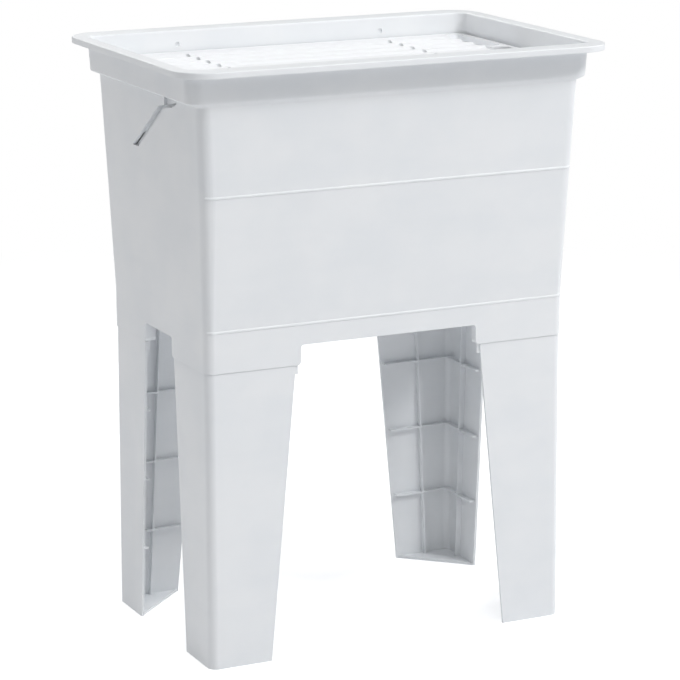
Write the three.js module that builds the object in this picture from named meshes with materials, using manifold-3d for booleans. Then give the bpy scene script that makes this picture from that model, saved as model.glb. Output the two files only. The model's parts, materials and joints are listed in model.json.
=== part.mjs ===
// A free-standing laundry sink moulded in white polypropylene: a deep drafted tub with a flat rim,
// four ribbed angle legs pushed up into sockets under its corners, a ribbed washboard that lies in
// the top of the tub as a cover and lifts out, and a waste with a strainer and a rubber plug.
//
// Millimetres, +Z up, +X along the long front to the right, +Y to the back.
// The origin is on the floor, below the middle of the tub.
//
// The feature that takes the most skill is the tub: one thin moulding with a rim, a collar with an
// inner ledge, drafted walls, a dished floor with a sump, a skirt arched between the legs, leg
// sockets, and slanted steps in the side walls that are grooves outside and rails inside.

import * as THREE from 'three';
import { mergeVertices } from 'three/addons/utils/BufferGeometryUtils.js';
import Module from 'manifold-3d';

const wasm = await Module();
wasm.setup();

// ---------------------------------------------------------------- driving dimensions, heights
const LEG_HEIGHT = 400;
const SKIRT_HEIGHT = 55;
const LOWER_WALL_HEIGHT = 178;
const UPPER_WALL_HEIGHT = 117;
const COLLAR_HEIGHT = 50;

// ---------------------------------------------------------------- driving dimensions, plan sizes
const RIM_WIDTH = 620;
const RIM_DEPTH = 430;
const RIM_CORNER_RADIUS = 45;
const RIM_LIP_HEIGHT = 8.5;
const RIM_LIP_THICKNESS = 3.5;
const RIM_OVERHANG_SIDE = 18.5;
const RIM_OVERHANG_FRONT = 31;
const RIM_EDGE_ROUND = 1.5;
const RIM_EDGE_INSET = 1;
const COLLAR_CORNER_RADIUS = 22;
const COLLAR_TAPER = 2;
const COLLAR_EDGE_RADIUS = 3;
const MOUTH_FLARE = 1.5;
const MOUTH_FLARE_DEPTH = 2;
const LEDGE_SIDE = 14;
const LEDGE_FRONT = 3;
const UPPER_DRAFT_SIDE = 5.5;
const UPPER_DRAFT_FRONT = 4;
const LOWER_DRAFT_SIDE = 6.5;
const LOWER_DRAFT_FRONT = 12.5;
const BODY_CORNER_RADIUS = 17;
const SKIRT_CORNER_RADIUS = 13;
const WALL = 4;

// raised beads across the front and back walls
const BEAD_RADIUS = 2.6;
const BEAD_PROUD = 1.1;

// arches cut up into the skirt between the legs
const ARCH_RISE = 27;
const FRONT_ARCH_WIDTH = 258;
const SIDE_ARCH_WIDTH = 93;
const ARCH_FOOT_RADIUS = 6;
const ARCH_CROWN_RADIUS = 4;

// leg sockets behind the skirt corners, and the tenons of the legs that stand in them
const SOCKET_WALL = 3;
const SIDE_RETURN_DEPTH = 15;
const SOCKET_WALL_DROP = 38;
const TENON_THICKNESS = 3.5;
const TENON_HEIGHT = 34;
const TENON_ROOT = 12;

// slanted steps in the side walls: a groove outside and a rail inside, with a pocket at the top
const GROOVE_DEPTH = 9;
const GROOVE_WIDTH = 10;
const GROOVE_TOP_Y = -52;
const GROOVE_DROP = 66;
const GROOVE_RUN = 100;
const GROOVE_POCKET_LENGTH = 39;
const GROOVE_POCKET_DROP = 15;
const RAIL_SIDE_WALL = 2.4;

// holes for fixing the collar to a wall
const FIXING_HOLE_DIAMETER = 6;
const FIXING_HOLE_SPACING = 311;
const FIXING_HOLE_BELOW_RIM = 19.5;

// dished floor, sump and waste hole
const FLOOR_FALL = 5;
const FLOOR_FILLET = 14;
const SUMP_DIAMETER = 92;
const SUMP_DEPTH = 6;
const WASTE_HOLE_DIAMETER = 62;

// legs: angle sections, wide at the top and narrow at the foot
const LEG_SETBACK = 1.3;
const LEG_SPLAY_X = 0.8;
const LEG_SPLAY_Y = 3.3;
const LEG_WALL = 3.5;
const LEG_CORNER_RADIUS = 12;
const LEG_INNER_RADIUS = 9;
const LEG_TOP_FLANGE_X = 126;
const LEG_TOP_FLANGE_Y = 111;
const LEG_FOOT_FLANGE_X = 88;
const LEG_FOOT_FLANGE_Y = 84;
const LEG_RIB_DEPTH = 8;
const LEG_RIB_THICKNESS = 2.5;
const LEG_RIB_END_GAP = 5;
const LEG_SHELVES = 3;
const FOOT_PLATE = 3.5;

// washboard
const BOARD_THICKNESS = 16.5;
const BOARD_CORNER_RADIUS = 14;
const BOARD_END_CLEARANCE = 4;
const BOARD_SIDE_CLEARANCE = 1.5;
const BOARD_LIP = 8;
const BOARD_EDGE_ROUND = 1.2;
const RIB_PITCH = 35.5;
const RIB_DEPTH = 3;
const RIB_STEEP_RUN = 8;
const RIB_COUNT = 9;
const TROUGH_WIDTH = 23;
const TROUGH_DEPTH = 8;
const TROUGH_END_RADIUS = 7;
const FINGER_SLOT_WIDTH = 34;
const FINGER_SLOT_LENGTH = 52;
const FINGER_SLOT_LAND = 10;
const BOARD_SKIN = 3;
const BOARD_WEB = 2.5;
const BOARD_BAYS = 7;
const DRAIN_SLOT_LENGTH = 20;
const DRAIN_SLOT_WIDTH = 7;
const DRAIN_SLOT_SPACING = 310;

// waste
const GASKET_THICKNESS = 2;
const GASKET_DIAMETER = 84;
const STRAINER_FLANGE = 2;
const STRAINER_DIAMETER = 86;
const STRAINER_BOWL_DIAMETER = 52;
const STRAINER_BOWL_DEPTH = 9;
const STRAINER_BOWL_DRAFT = 2;
const STRAINER_SHEET = 1.5;
const STRAINER_HOLE_DIAMETER = 5;
const STRAINER_INNER_HOLES = 6;
const STRAINER_OUTER_HOLES = 12;
const OUTLET_DIAMETER = 42;
const OUTLET_WALL = 3;
const OUTLET_LENGTH = 24;
const CUP_WALL = 3;
const CUP_DEPTH = 15;
const CUP_FLANGE = 3.5;
const SCREW_DIAMETER = 6;
const SCREW_HEAD_DIAMETER = 11;
const SCREW_HEAD_HEIGHT = 3;
const SCREW_SLOT = 1.4;
const SCREW_BOSS_DIAMETER = 14;
const SCREW_BOSS_HEIGHT = 9;
const SCREW_BOSS_ARMS = 3;
const SCREW_BOSS_ARM_WIDTH = 4;
const PLUG_CAP_DIAMETER = 60;
const PLUG_CAP_HEIGHT = 3.5;
const PLUG_GRIP_DIAMETER = 15;
const PLUG_GRIP_NECK_DIAMETER = 9;
const PLUG_GRIP_HEIGHT = 16;

const SEAT_GAP = 0.3;
const SLIDE_GAP = 0.5;
const OVERCUT = 1;
const ARC_STEPS = 5;
const SMALL_ARC_STEPS = 3;
const ROUND_STEPS = 28;
const DISH_STEPS = 6;

// ---------------------------------------------------------------- levels, all worked out
const skirtTop = LEG_HEIGHT + SKIRT_HEIGHT;
const middleLevel = skirtTop + LOWER_WALL_HEIGHT;
const collarBottom = middleLevel + UPPER_WALL_HEIGHT;
const rimTop = collarBottom + COLLAR_HEIGHT;
const rimLipBottom = rimTop - RIM_LIP_HEIGHT;
const ledgeTop = collarBottom + WALL;
const floorEdge = skirtTop + WALL;
const floorCentre = floorEdge - FLOOR_FALL;
const sumpTop = floorCentre - SUMP_DEPTH;
const sumpUnderside = sumpTop - WALL;
const archCrown = LEG_HEIGHT + ARCH_RISE;
const socketDepth = WALL + TENON_THICKNESS + 2 * SLIDE_GAP;
const boardBottom = ledgeTop + SEAT_GAP;
const boardTop = boardBottom + BOARD_THICKNESS;

// ---------------------------------------------------------------- plan sizes, worked out from the rim down
const collarWidth = RIM_WIDTH - 2 * RIM_OVERHANG_SIDE;
const collarDepth = RIM_DEPTH - 2 * RIM_OVERHANG_FRONT;
const collarFootWidth = collarWidth - 2 * COLLAR_TAPER;
const collarFootDepth = collarDepth - 2 * COLLAR_TAPER;
const bodyTopWidth = collarFootWidth - 2 * LEDGE_SIDE;
const bodyTopDepth = collarFootDepth - 2 * LEDGE_FRONT;
const bodyMiddleWidth = bodyTopWidth - 2 * UPPER_DRAFT_SIDE;
const bodyMiddleDepth = bodyTopDepth - 2 * UPPER_DRAFT_FRONT;
const skirtWidth = bodyMiddleWidth - 2 * LOWER_DRAFT_SIDE;
const skirtDepth = bodyMiddleDepth - 2 * LOWER_DRAFT_FRONT;

// ---------------------------------------------------------------- plan outlines
function roundedRectangle(width, depth, radius) {
  const x = width / 2;
  const y = depth / 2;
  const r = Math.min(radius, x, y);
  const outline = new THREE.Shape();
  outline.moveTo(x, -y + r);
  outline.lineTo(x, y - r);
  outline.absarc(x - r, y - r, r, 0, Math.PI / 2, false);
  outline.lineTo(-x + r, y);
  outline.absarc(-x + r, y - r, r, Math.PI / 2, Math.PI, false);
  outline.lineTo(-x, -y + r);
  outline.absarc(-x + r, -y + r, r, Math.PI, Math.PI * 1.5, false);
  outline.lineTo(x - r, -y);
  outline.absarc(x - r, -y + r, r, Math.PI * 1.5, Math.PI * 2, false);
  return outline;
}

// The outline of a shape as distinct points, counterclockwise.
function outlinePoints(shape, arcSteps = ARC_STEPS) {
  const raw = shape.extractPoints(arcSteps).shape;
  const points = raw.filter((point, i) => point.distanceTo(raw[(i + 1) % raw.length]) > 1e-6);
  return THREE.ShapeUtils.isClockWise(points) ? points.reverse() : points;
}

// A rounded rectangle at one level, its straight sides divided into equal steps.
function ring(width, depth, radius, z, sideSteps = 1) {
  const outline = outlinePoints(roundedRectangle(width, depth, radius));
  return outline.flatMap((point, i) => {
    const next = outline[(i + 1) % outline.length];
    const steps = point.distanceTo(next) > radius ? sideSteps : 1;
    return Array.from({ length: steps }, (_, k) => {
      const p = point.clone().lerp(next, k / steps);
      return new THREE.Vector3(p.x, p.y, z);
    });
  });
}

// A circle whose points lie in the same directions as those of another ring.
function roundRing(pattern, radius, z) {
  return pattern.map((p) => {
    const reach = Math.hypot(p.x, p.y);
    return new THREE.Vector3((p.x / reach) * radius, (p.y / reach) * radius, z);
  });
}

// ---------------------------------------------------------------- solids
// A closed skin through rings of equal point count, lowest ring first.
function loft(rings) {
  const count = rings[0].length;
  const positions = rings.flat().flatMap((p) => [p.x, p.y, p.z]);
  const cap = THREE.ShapeUtils.triangulateShape(rings[0].map((p) => new THREE.Vector2(p.x, p.y)), []);
  const topCap = THREE.ShapeUtils.triangulateShape(rings.at(-1).map((p) => new THREE.Vector2(p.x, p.y)), []);
  const last = (rings.length - 1) * count;
  const faces = cap.map(([a, b, c]) => [c, b, a]);
  topCap.forEach(([a, b, c]) => faces.push([last + a, last + b, last + c]));
  for (let level = 0; level < rings.length - 1; level += 1) {
    for (let i = 0; i < count; i += 1) {
      const a = level * count + i;
      const b = level * count + ((i + 1) % count);
      faces.push([a, b, b + count], [a, b + count, a + count]);
    }
  }
  const geometry = new THREE.BufferGeometry();
  geometry.setAttribute('position', new THREE.Float32BufferAttribute(positions, 3));
  geometry.setIndex(faces.flat());
  return solid(geometry);
}

// A geometry as a solid that can be joined and cut.
function solid(geometry) {
  const bare = geometry.clone();
  bare.deleteAttribute('normal');
  bare.deleteAttribute('uv');
  const welded = mergeVertices(bare, 1e-4);
  const source = welded.index.array;
  const corners = [];
  for (let i = 0; i < source.length; i += 3) {
    const [a, b, c] = [source[i], source[i + 1], source[i + 2]];
    if (a !== b && b !== c && c !== a) {
      corners.push(a, b, c);
    }
  }
  return new wasm.Manifold(new wasm.Mesh({
    numProp: 3,
    vertProperties: new Float32Array(welded.attributes.position.array),
    triVerts: new Uint32Array(corners),
  }));
}

function joined(solids) {
  return solids.reduce((whole, piece) => whole.add(piece));
}

// A plan shape raised from one level to another.
function prism(shape, bottom, top, arcSteps = ARC_STEPS) {
  const geometry = new THREE.ExtrudeGeometry(shape, {
    depth: top - bottom,
    bevelEnabled: false,
    curveSegments: arcSteps,
    steps: 1,
  });
  return solid(geometry.translate(0, 0, bottom));
}

// A shape drawn in X (across) and Z (up), run from one Y to another.
function alongY(shape, from, to, arcSteps = ARC_STEPS) {
  const geometry = new THREE.ExtrudeGeometry(shape, {
    depth: to - from,
    bevelEnabled: false,
    curveSegments: arcSteps,
    steps: 1,
  });
  return solid(geometry.rotateX(Math.PI / 2).translate(0, to, 0));
}

// A shape drawn in Y (across) and Z (up), run from one X to another.
function alongX(shape, from, to, arcSteps = ARC_STEPS) {
  const geometry = new THREE.ExtrudeGeometry(shape, {
    depth: to - from,
    bevelEnabled: false,
    curveSegments: arcSteps,
    steps: 1,
  });
  return solid(geometry.rotateX(Math.PI / 2).rotateZ(Math.PI / 2).translate(from, 0, 0));
}

// A profile of radius and height pairs turned about Z. It starts and ends on the axis or closes.
function turned(profile, steps = ROUND_STEPS) {
  const points = profile.map(([radius, height]) => new THREE.Vector2(radius, height));
  return solid(new THREE.LatheGeometry(points, steps).rotateX(Math.PI / 2));
}

function disc(x, y, diameter, bottom, top, steps = ROUND_STEPS) {
  const radius = diameter / 2;
  const geometry = new THREE.CylinderGeometry(radius, radius, top - bottom, steps);
  return solid(geometry.rotateX(Math.PI / 2).translate(x, y, (top + bottom) / 2));
}

function block(x0, x1, y0, y1, z0, z1) {
  const geometry = new THREE.BoxGeometry(Math.abs(x1 - x0), Math.abs(y1 - y0), Math.abs(z1 - z0));
  return solid(geometry.translate((x0 + x1) / 2, (y0 + y1) / 2, (z0 + z1) / 2));
}

function polygon(points) {
  return new THREE.Shape(points.map(([across, up]) => new THREE.Vector2(across, up)));
}

// ---------------------------------------------------------------- finished meshes
const finishes = {
  whitePlastic: new THREE.MeshStandardMaterial({ color: 0xeceff2, roughness: 0.35, metalness: 0 }),
  boardPlastic: new THREE.MeshStandardMaterial({ color: 0xf4f6f7, roughness: 0.4, metalness: 0 }),
  fittingPlastic: new THREE.MeshStandardMaterial({ color: 0xe4e6e8, roughness: 0.45, metalness: 0 }),
  steel: new THREE.MeshStandardMaterial({ color: 0xc9ccd0, roughness: 0.25, metalness: 1 }),
  blackRubber: new THREE.MeshStandardMaterial({ color: 0x1c1d1f, roughness: 0.75, metalness: 0 }),
};

function mesh(name, body, material) {
  const { vertProperties, triVerts, numProp } = body.getMesh();
  const positions = [];
  for (let i = 0; i < vertProperties.length; i += numProp) {
    positions.push(vertProperties[i], vertProperties[i + 1], vertProperties[i + 2]);
  }
  const geometry = new THREE.BufferGeometry();
  geometry.setAttribute('position', new THREE.Float32BufferAttribute(positions, 3));
  geometry.setIndex(Array.from(triVerts));
  geometry.computeVertexNormals();
  const piece = new THREE.Mesh(geometry, material);
  piece.name = name;
  return piece;
}

// ---------------------------------------------------------------- tub
function tubOutside() {
  const body = loft([
    ring(skirtWidth, skirtDepth, SKIRT_CORNER_RADIUS, LEG_HEIGHT),
    ring(skirtWidth, skirtDepth, SKIRT_CORNER_RADIUS, skirtTop),
    ring(bodyMiddleWidth, bodyMiddleDepth, BODY_CORNER_RADIUS, middleLevel),
    ring(bodyTopWidth, bodyTopDepth, BODY_CORNER_RADIUS, collarBottom + WALL / 2),
  ]);
  const edge = COLLAR_EDGE_RADIUS;
  const collar = loft([
    ring(collarFootWidth - 2 * edge, collarFootDepth - 2 * edge, COLLAR_CORNER_RADIUS - edge, collarBottom),
    ring(collarFootWidth - 0.6 * edge, collarFootDepth - 0.6 * edge, COLLAR_CORNER_RADIUS, collarBottom + 0.3 * edge),
    ring(collarFootWidth, collarFootDepth, COLLAR_CORNER_RADIUS, collarBottom + edge),
    ring(collarWidth, collarDepth, COLLAR_CORNER_RADIUS, rimTop - WALL / 2),
  ]);
  const rim = loft([
    ring(RIM_WIDTH, RIM_DEPTH, RIM_CORNER_RADIUS, rimLipBottom),
    ring(RIM_WIDTH, RIM_DEPTH, RIM_CORNER_RADIUS, rimTop - RIM_EDGE_ROUND),
    ring(RIM_WIDTH - 2 * RIM_EDGE_INSET, RIM_DEPTH - 2 * RIM_EDGE_INSET, RIM_CORNER_RADIUS - RIM_EDGE_INSET, rimTop),
  ]);
  return joined([body, collar, rim]);
}

// The room inside the tub, from the sump to above the rim.
function tubInside() {
  const cornerRadius = BODY_CORNER_RADIUS - WALL;
  const floorRing = (inset, z) => ring(
    skirtWidth - 2 * (WALL + inset),
    skirtDepth - 2 * (WALL + inset),
    cornerRadius + (FLOOR_FILLET - inset) / 2,
    z,
    DISH_STEPS,
  );
  const wallRing = (width, depth, z) => ring(width - 2 * WALL, depth - 2 * WALL, cornerRadius, z, DISH_STEPS);
  const foot = floorRing(FLOOR_FILLET, floorEdge);
  const basin = loft([
    roundRing(foot, SUMP_DIAMETER / 2 - OVERCUT, floorCentre),
    foot,
    floorRing(FLOOR_FILLET * 0.3, floorEdge + FLOOR_FILLET * 0.3),
    floorRing(0, floorEdge + FLOOR_FILLET),
    wallRing(bodyMiddleWidth, bodyMiddleDepth, middleLevel),
    wallRing(bodyTopWidth, bodyTopDepth, ledgeTop + OVERCUT),
  ]);
  const sump = disc(0, 0, SUMP_DIAMETER, sumpTop, floorCentre + OVERCUT);
  const radius = COLLAR_CORNER_RADIUS - WALL;
  const mouthWidth = collarWidth - 2 * WALL;
  const mouthDepth = collarDepth - 2 * WALL;
  const flare = 2 * MOUTH_FLARE;
  const mouth = loft([
    ring(collarFootWidth - 2 * WALL, collarFootDepth - 2 * WALL, radius, ledgeTop),
    ring(mouthWidth, mouthDepth, radius, rimTop - MOUTH_FLARE_DEPTH),
    ring(mouthWidth + flare, mouthDepth + flare, radius + MOUTH_FLARE, rimTop + OVERCUT / 2),
  ]);
  return joined([basin, sump, mouth]);
}

// The hollow inside the skirt, up to the underside of the dished floor and around the sump.
function skirtHollow() {
  const inner = (z) => ring(
    skirtWidth - 2 * WALL,
    skirtDepth - 2 * WALL,
    SKIRT_CORNER_RADIUS - WALL,
    z,
    DISH_STEPS,
  );
  const top = inner(floorEdge - WALL);
  const hollow = loft([
    inner(LEG_HEIGHT - OVERCUT),
    top,
    roundRing(top, SUMP_DIAMETER / 2, floorCentre - WALL),
  ]);
  return hollow.subtract(disc(0, 0, SUMP_DIAMETER + 2 * WALL, sumpUnderside, floorCentre));
}

// The channel under the rim, open below, that leaves the rim a thin plate with a turned-down lip.
function rimChannel() {
  const lip = 2 * RIM_LIP_THICKNESS;
  const outer = loft([
    ring(RIM_WIDTH - lip, RIM_DEPTH - lip, RIM_CORNER_RADIUS - RIM_LIP_THICKNESS, rimLipBottom - OVERCUT),
    ring(RIM_WIDTH - lip, RIM_DEPTH - lip, RIM_CORNER_RADIUS - RIM_LIP_THICKNESS, rimTop - WALL),
  ]);
  const core = loft([
    ring(collarWidth, collarDepth, COLLAR_CORNER_RADIUS, rimLipBottom - 2 * OVERCUT),
    ring(collarWidth, collarDepth, COLLAR_CORNER_RADIUS, rimTop),
  ]);
  return outer.subtract(core);
}

// A raised bead along the front or the back wall, between its corner roundings.
function bead(side, level, wallWidth, wallDepth) {
  const section = new THREE.Shape();
  section.absarc(0, 0, BEAD_RADIUS, 0, Math.PI * 2, false);
  const reach = wallWidth / 2 - BODY_CORNER_RADIUS;
  const centre = side * (wallDepth / 2 - BEAD_RADIUS + BEAD_PROUD);
  const geometry = new THREE.ExtrudeGeometry(section, {
    depth: 2 * reach,
    bevelEnabled: false,
    curveSegments: ARC_STEPS,
    steps: 1,
  });
  return solid(geometry.rotateY(Math.PI / 2).translate(-reach, centre, level));
}

// The gap cut up into the skirt between two legs: flared at its feet, rounded at its crown.
function archShape(width) {
  const half = width / 2;
  const foot = ARCH_FOOT_RADIUS;
  const crown = ARCH_CROWN_RADIUS;
  const shape = new THREE.Shape();
  shape.moveTo(-half - foot, LEG_HEIGHT - OVERCUT);
  shape.lineTo(half + foot, LEG_HEIGHT - OVERCUT);
  shape.lineTo(half + foot, LEG_HEIGHT);
  shape.absarc(half + foot, LEG_HEIGHT + foot, foot, Math.PI * 1.5, Math.PI, true);
  shape.lineTo(half, archCrown - crown);
  shape.absarc(half - crown, archCrown - crown, crown, 0, Math.PI / 2, false);
  shape.lineTo(-half + crown, archCrown);
  shape.absarc(-half + crown, archCrown - crown, crown, Math.PI / 2, Math.PI, false);
  shape.lineTo(-half, LEG_HEIGHT + foot);
  shape.absarc(-half - foot, LEG_HEIGHT + foot, foot, 0, -Math.PI / 2, true);
  return shape;
}

// The walls behind one skirt corner that make the socket of a leg.
function socketWalls(sx, sy) {
  const top = floorEdge - WALL / 2;
  const outX = skirtWidth / 2;
  const outY = skirtDepth / 2;
  const endX = FRONT_ARCH_WIDTH / 2;
  const endY = SIDE_ARCH_WIDTH / 2;
  const overlap = WALL / 2;
  const innerX = outX - socketDepth;
  const innerY = outY - socketDepth;
  const drop = top - SOCKET_WALL_DROP;
  const frontReturn = block(
    sx * endX, sx * (endX + SOCKET_WALL),
    sy * (outY - overlap), sy * (innerY - SOCKET_WALL), LEG_HEIGHT, top,
  );
  const sideReturn = block(
    sx * (outX - overlap), sx * (outX - SIDE_RETURN_DEPTH),
    sy * endY, sy * (endY + SOCKET_WALL), LEG_HEIGHT, top,
  );
  const backOfFront = block(sx * endX, sx * innerX, sy * innerY, sy * (innerY - SOCKET_WALL), drop, top);
  const backOfSide = block(sx * innerX, sx * (innerX - SOCKET_WALL), sy * endY, sy * innerY, drop, top);
  return joined([frontReturn, sideReturn, backOfFront, backOfSide]);
}

// The slanted groove, drawn in Y and Z and grown on all sides: a pocket under the collar, then a strip.
function grooveShape(grow) {
  const slope = Math.atan2(GROOVE_DROP, GROOVE_RUN);
  const halfAcross = (GROOVE_WIDTH / 2 + grow) / Math.sin(slope);
  const pocketTop = collarBottom + grow;
  const pocketFloor = collarBottom - GROOVE_POCKET_DROP;
  const pocketBack = GROOVE_TOP_Y - GROOVE_WIDTH + grow;
  const pocketFront = pocketBack - GROOVE_POCKET_LENGTH - 2 * grow;
  const pocketKnee = pocketBack - GROOVE_POCKET_LENGTH * 0.68 - grow;
  const stripEndY = GROOVE_TOP_Y + GROOVE_RUN;
  return polygon([
    [pocketFront, pocketTop],
    [pocketKnee, collarBottom - GROOVE_POCKET_DROP * 0.6 - grow],
    [GROOVE_TOP_Y - halfAcross, pocketFloor - grow],
    [stripEndY - halfAcross, pocketFloor - GROOVE_DROP - grow],
    [stripEndY + halfAcross, pocketFloor - GROOVE_DROP - grow],
    [GROOVE_TOP_Y + halfAcross, pocketFloor],
    [pocketBack, pocketFloor + grow + 1],
    [pocketBack, pocketTop],
  ]);
}

// A groove shape standing out from the groove's face on both side walls.
function groovePair(grow, face) {
  const far = collarWidth / 2;
  const shape = grooveShape(grow);
  return alongX(shape, face, far, 1).add(alongX(shape, -far, -face, 1));
}

function buildTub() {
  const grooveFace = bodyTopWidth / 2 - GROOVE_DEPTH;
  let tub = tubOutside();
  [-1, 1].forEach((side) => {
    tub = tub.add(bead(side, middleLevel, bodyMiddleWidth, bodyMiddleDepth));
    tub = tub.add(bead(side, skirtTop, skirtWidth, skirtDepth));
  });
  tub = tub.subtract(tubInside());
  tub = tub.subtract(skirtHollow());
  tub = tub.subtract(rimChannel());

  // the rails fill in from the walls before the grooves are cut into them from outside
  const wallCore = loft([
    ring(bodyMiddleWidth - WALL, bodyMiddleDepth - WALL, BODY_CORNER_RADIUS, middleLevel),
    ring(bodyTopWidth - WALL, bodyTopDepth - WALL, BODY_CORNER_RADIUS, collarBottom + WALL / 2),
  ]);
  tub = tub.add(groovePair(RAIL_SIDE_WALL, grooveFace - WALL).intersect(wallCore));
  const belowCollar = block(
    -RIM_WIDTH / 2, RIM_WIDTH / 2, -RIM_DEPTH / 2, RIM_DEPTH / 2, skirtTop, collarBottom,
  );
  tub = tub.subtract(groovePair(0, grooveFace).intersect(belowCollar));

  [[-1, -1], [1, -1], [-1, 1], [1, 1]].forEach(([sx, sy]) => {
    tub = tub.add(socketWalls(sx, sy));
  });
  tub = tub.subtract(alongY(archShape(FRONT_ARCH_WIDTH), -RIM_DEPTH, RIM_DEPTH));
  tub = tub.subtract(alongX(archShape(SIDE_ARCH_WIDTH), -RIM_WIDTH, RIM_WIDTH));

  const holeLevel = rimTop - FIXING_HOLE_BELOW_RIM;
  [-1, 1].forEach((side) => {
    const hole = new THREE.Shape();
    hole.absarc(side * FIXING_HOLE_SPACING / 2, holeLevel, FIXING_HOLE_DIAMETER / 2, 0, Math.PI * 2, false);
    tub = tub.subtract(alongY(hole, collarDepth / 4, RIM_DEPTH / 2, ARC_STEPS * 2));
  });
  return tub.subtract(disc(0, 0, WASTE_HOLE_DIAMETER, sumpUnderside - OVERCUT, sumpTop + OVERCUT));
}

// ---------------------------------------------------------------- legs
// An angle section in its own corner frame: u runs along X and v along Y, both inwards.
function angleSection(flangeX, flangeY, thickness, outerRadius, innerRadius) {
  const shape = new THREE.Shape();
  shape.moveTo(flangeX, 0);
  shape.lineTo(flangeX, thickness);
  shape.lineTo(thickness + innerRadius, thickness);
  shape.absarc(thickness + innerRadius, thickness + innerRadius, innerRadius, -Math.PI / 2, -Math.PI, true);
  shape.lineTo(thickness, flangeY);
  shape.lineTo(0, flangeY);
  shape.lineTo(0, outerRadius);
  shape.absarc(outerRadius, outerRadius, outerRadius, Math.PI, Math.PI * 1.5, false);
  return shape;
}

// Points of the corner frame of one leg, placed at the corner (x, y) and level z.
function placed(points, sx, sy, x, y, z) {
  const ringPoints = points.map((p) => new THREE.Vector3(sx * (x - p.x), sy * (y - p.y), z));
  return sx * sy > 0 ? ringPoints : ringPoints.reverse();
}

function buildLeg(sx, sy) {
  const topX = skirtWidth / 2 - LEG_SETBACK;
  const topY = skirtDepth / 2 - LEG_SETBACK;
  const top = LEG_HEIGHT - SEAT_GAP;
  const lerp = THREE.MathUtils.lerp;
  const at = (z) => ({
    x: lerp(topX + LEG_SPLAY_X, topX, z / LEG_HEIGHT),
    y: lerp(topY + LEG_SPLAY_Y, topY, z / LEG_HEIGHT),
    flangeX: lerp(LEG_FOOT_FLANGE_X, LEG_TOP_FLANGE_X, z / LEG_HEIGHT),
    flangeY: lerp(LEG_FOOT_FLANGE_Y, LEG_TOP_FLANGE_Y, z / LEG_HEIGHT),
  });
  const place = (points, level, z) => placed(points, sx, sy, level.x, level.y, z);
  const section = (z) => {
    const level = at(z);
    const shape = angleSection(level.flangeX, level.flangeY, LEG_WALL, LEG_CORNER_RADIUS, LEG_INNER_RADIUS);
    return place(outlinePoints(shape), level, z);
  };
  const pieces = [loft([section(0), section(top)])];

  // foot plate: its free edge runs straight from one flange end to the other
  const foot = at(0);
  const plate = polygon([
    [foot.flangeX, LEG_WALL / 2],
    [LEG_WALL / 2, foot.flangeY],
    [LEG_WALL / 2, LEG_WALL / 2],
  ]);
  const platePoints = outlinePoints(plate);
  pieces.push(loft([place(platePoints, foot, 0), place(platePoints, foot, FOOT_PLATE)]));

  // level ribs that run round the inside of the angle and stop short of its free edges
  for (let shelf = 1; shelf <= LEG_SHELVES; shelf += 1) {
    const z = (LEG_HEIGHT * shelf) / (LEG_SHELVES + 1);
    const level = at(z);
    const shape = angleSection(
      level.flangeX - LEG_RIB_END_GAP - LEG_WALL / 2,
      level.flangeY - LEG_RIB_END_GAP - LEG_WALL / 2,
      LEG_WALL / 2 + LEG_RIB_DEPTH,
      LEG_CORNER_RADIUS - LEG_WALL / 2,
      LEG_INNER_RADIUS / 2,
    );
    const inset = LEG_WALL / 2;
    const points = outlinePoints(shape, SMALL_ARC_STEPS).map((p) => new THREE.Vector2(p.x + inset, p.y + inset));
    pieces.push(loft([place(points, level, z - LEG_RIB_THICKNESS), place(points, level, z)]));
  }

  // one upright rib down the middle of each flange
  const ribReach = LEG_WALL + LEG_RIB_DEPTH;
  const upright = (z, alongFlangeX) => {
    const level = at(z);
    const middle = (alongFlangeX ? level.flangeX : level.flangeY) / 2;
    const half = LEG_RIB_THICKNESS / 2;
    const corners = [
      [middle - half, LEG_WALL / 2],
      [middle + half, LEG_WALL / 2],
      [middle + half, ribReach],
      [middle - half, ribReach],
    ].map(([along, across]) => (alongFlangeX ? [along, across] : [across, along]));
    return place(outlinePoints(polygon(corners)), level, z);
  };
  pieces.push(loft([upright(FOOT_PLATE / 2, true), upright(top, true)]));
  pieces.push(loft([upright(FOOT_PLATE / 2, false), upright(top, false)]));

  // tenon that stands in the socket behind the skirt, on a root that thickens the top of the angle
  const tenon = { x: skirtWidth / 2 - WALL - SLIDE_GAP, y: skirtDepth / 2 - WALL - SLIDE_GAP };
  const root = { x: topX - LEG_WALL / 2, y: topY - LEG_WALL / 2 };
  const angleBetween = (corner, thickness, outerRadius, innerRadius, from, to) => {
    const endX = FRONT_ARCH_WIDTH / 2 + SOCKET_WALL + SLIDE_GAP;
    const endY = SIDE_ARCH_WIDTH / 2 + SOCKET_WALL + SLIDE_GAP;
    const shape = angleSection(corner.x - endX, corner.y - endY, thickness, outerRadius, innerRadius);
    const points = outlinePoints(shape, SMALL_ARC_STEPS);
    pieces.push(loft([place(points, corner, from), place(points, corner, to)]));
  };
  const rootThickness = root.x - tenon.x + TENON_THICKNESS;
  const rootRadius = LEG_CORNER_RADIUS - LEG_WALL / 2;
  const tenonRadius = SKIRT_CORNER_RADIUS - WALL;
  angleBetween(root, rootThickness, rootRadius, LEG_INNER_RADIUS, top - TENON_ROOT, top);
  angleBetween(tenon, TENON_THICKNESS, tenonRadius, SLIDE_GAP, top - TENON_ROOT / 2, top + TENON_HEIGHT);
  return joined(pieces);
}

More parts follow.
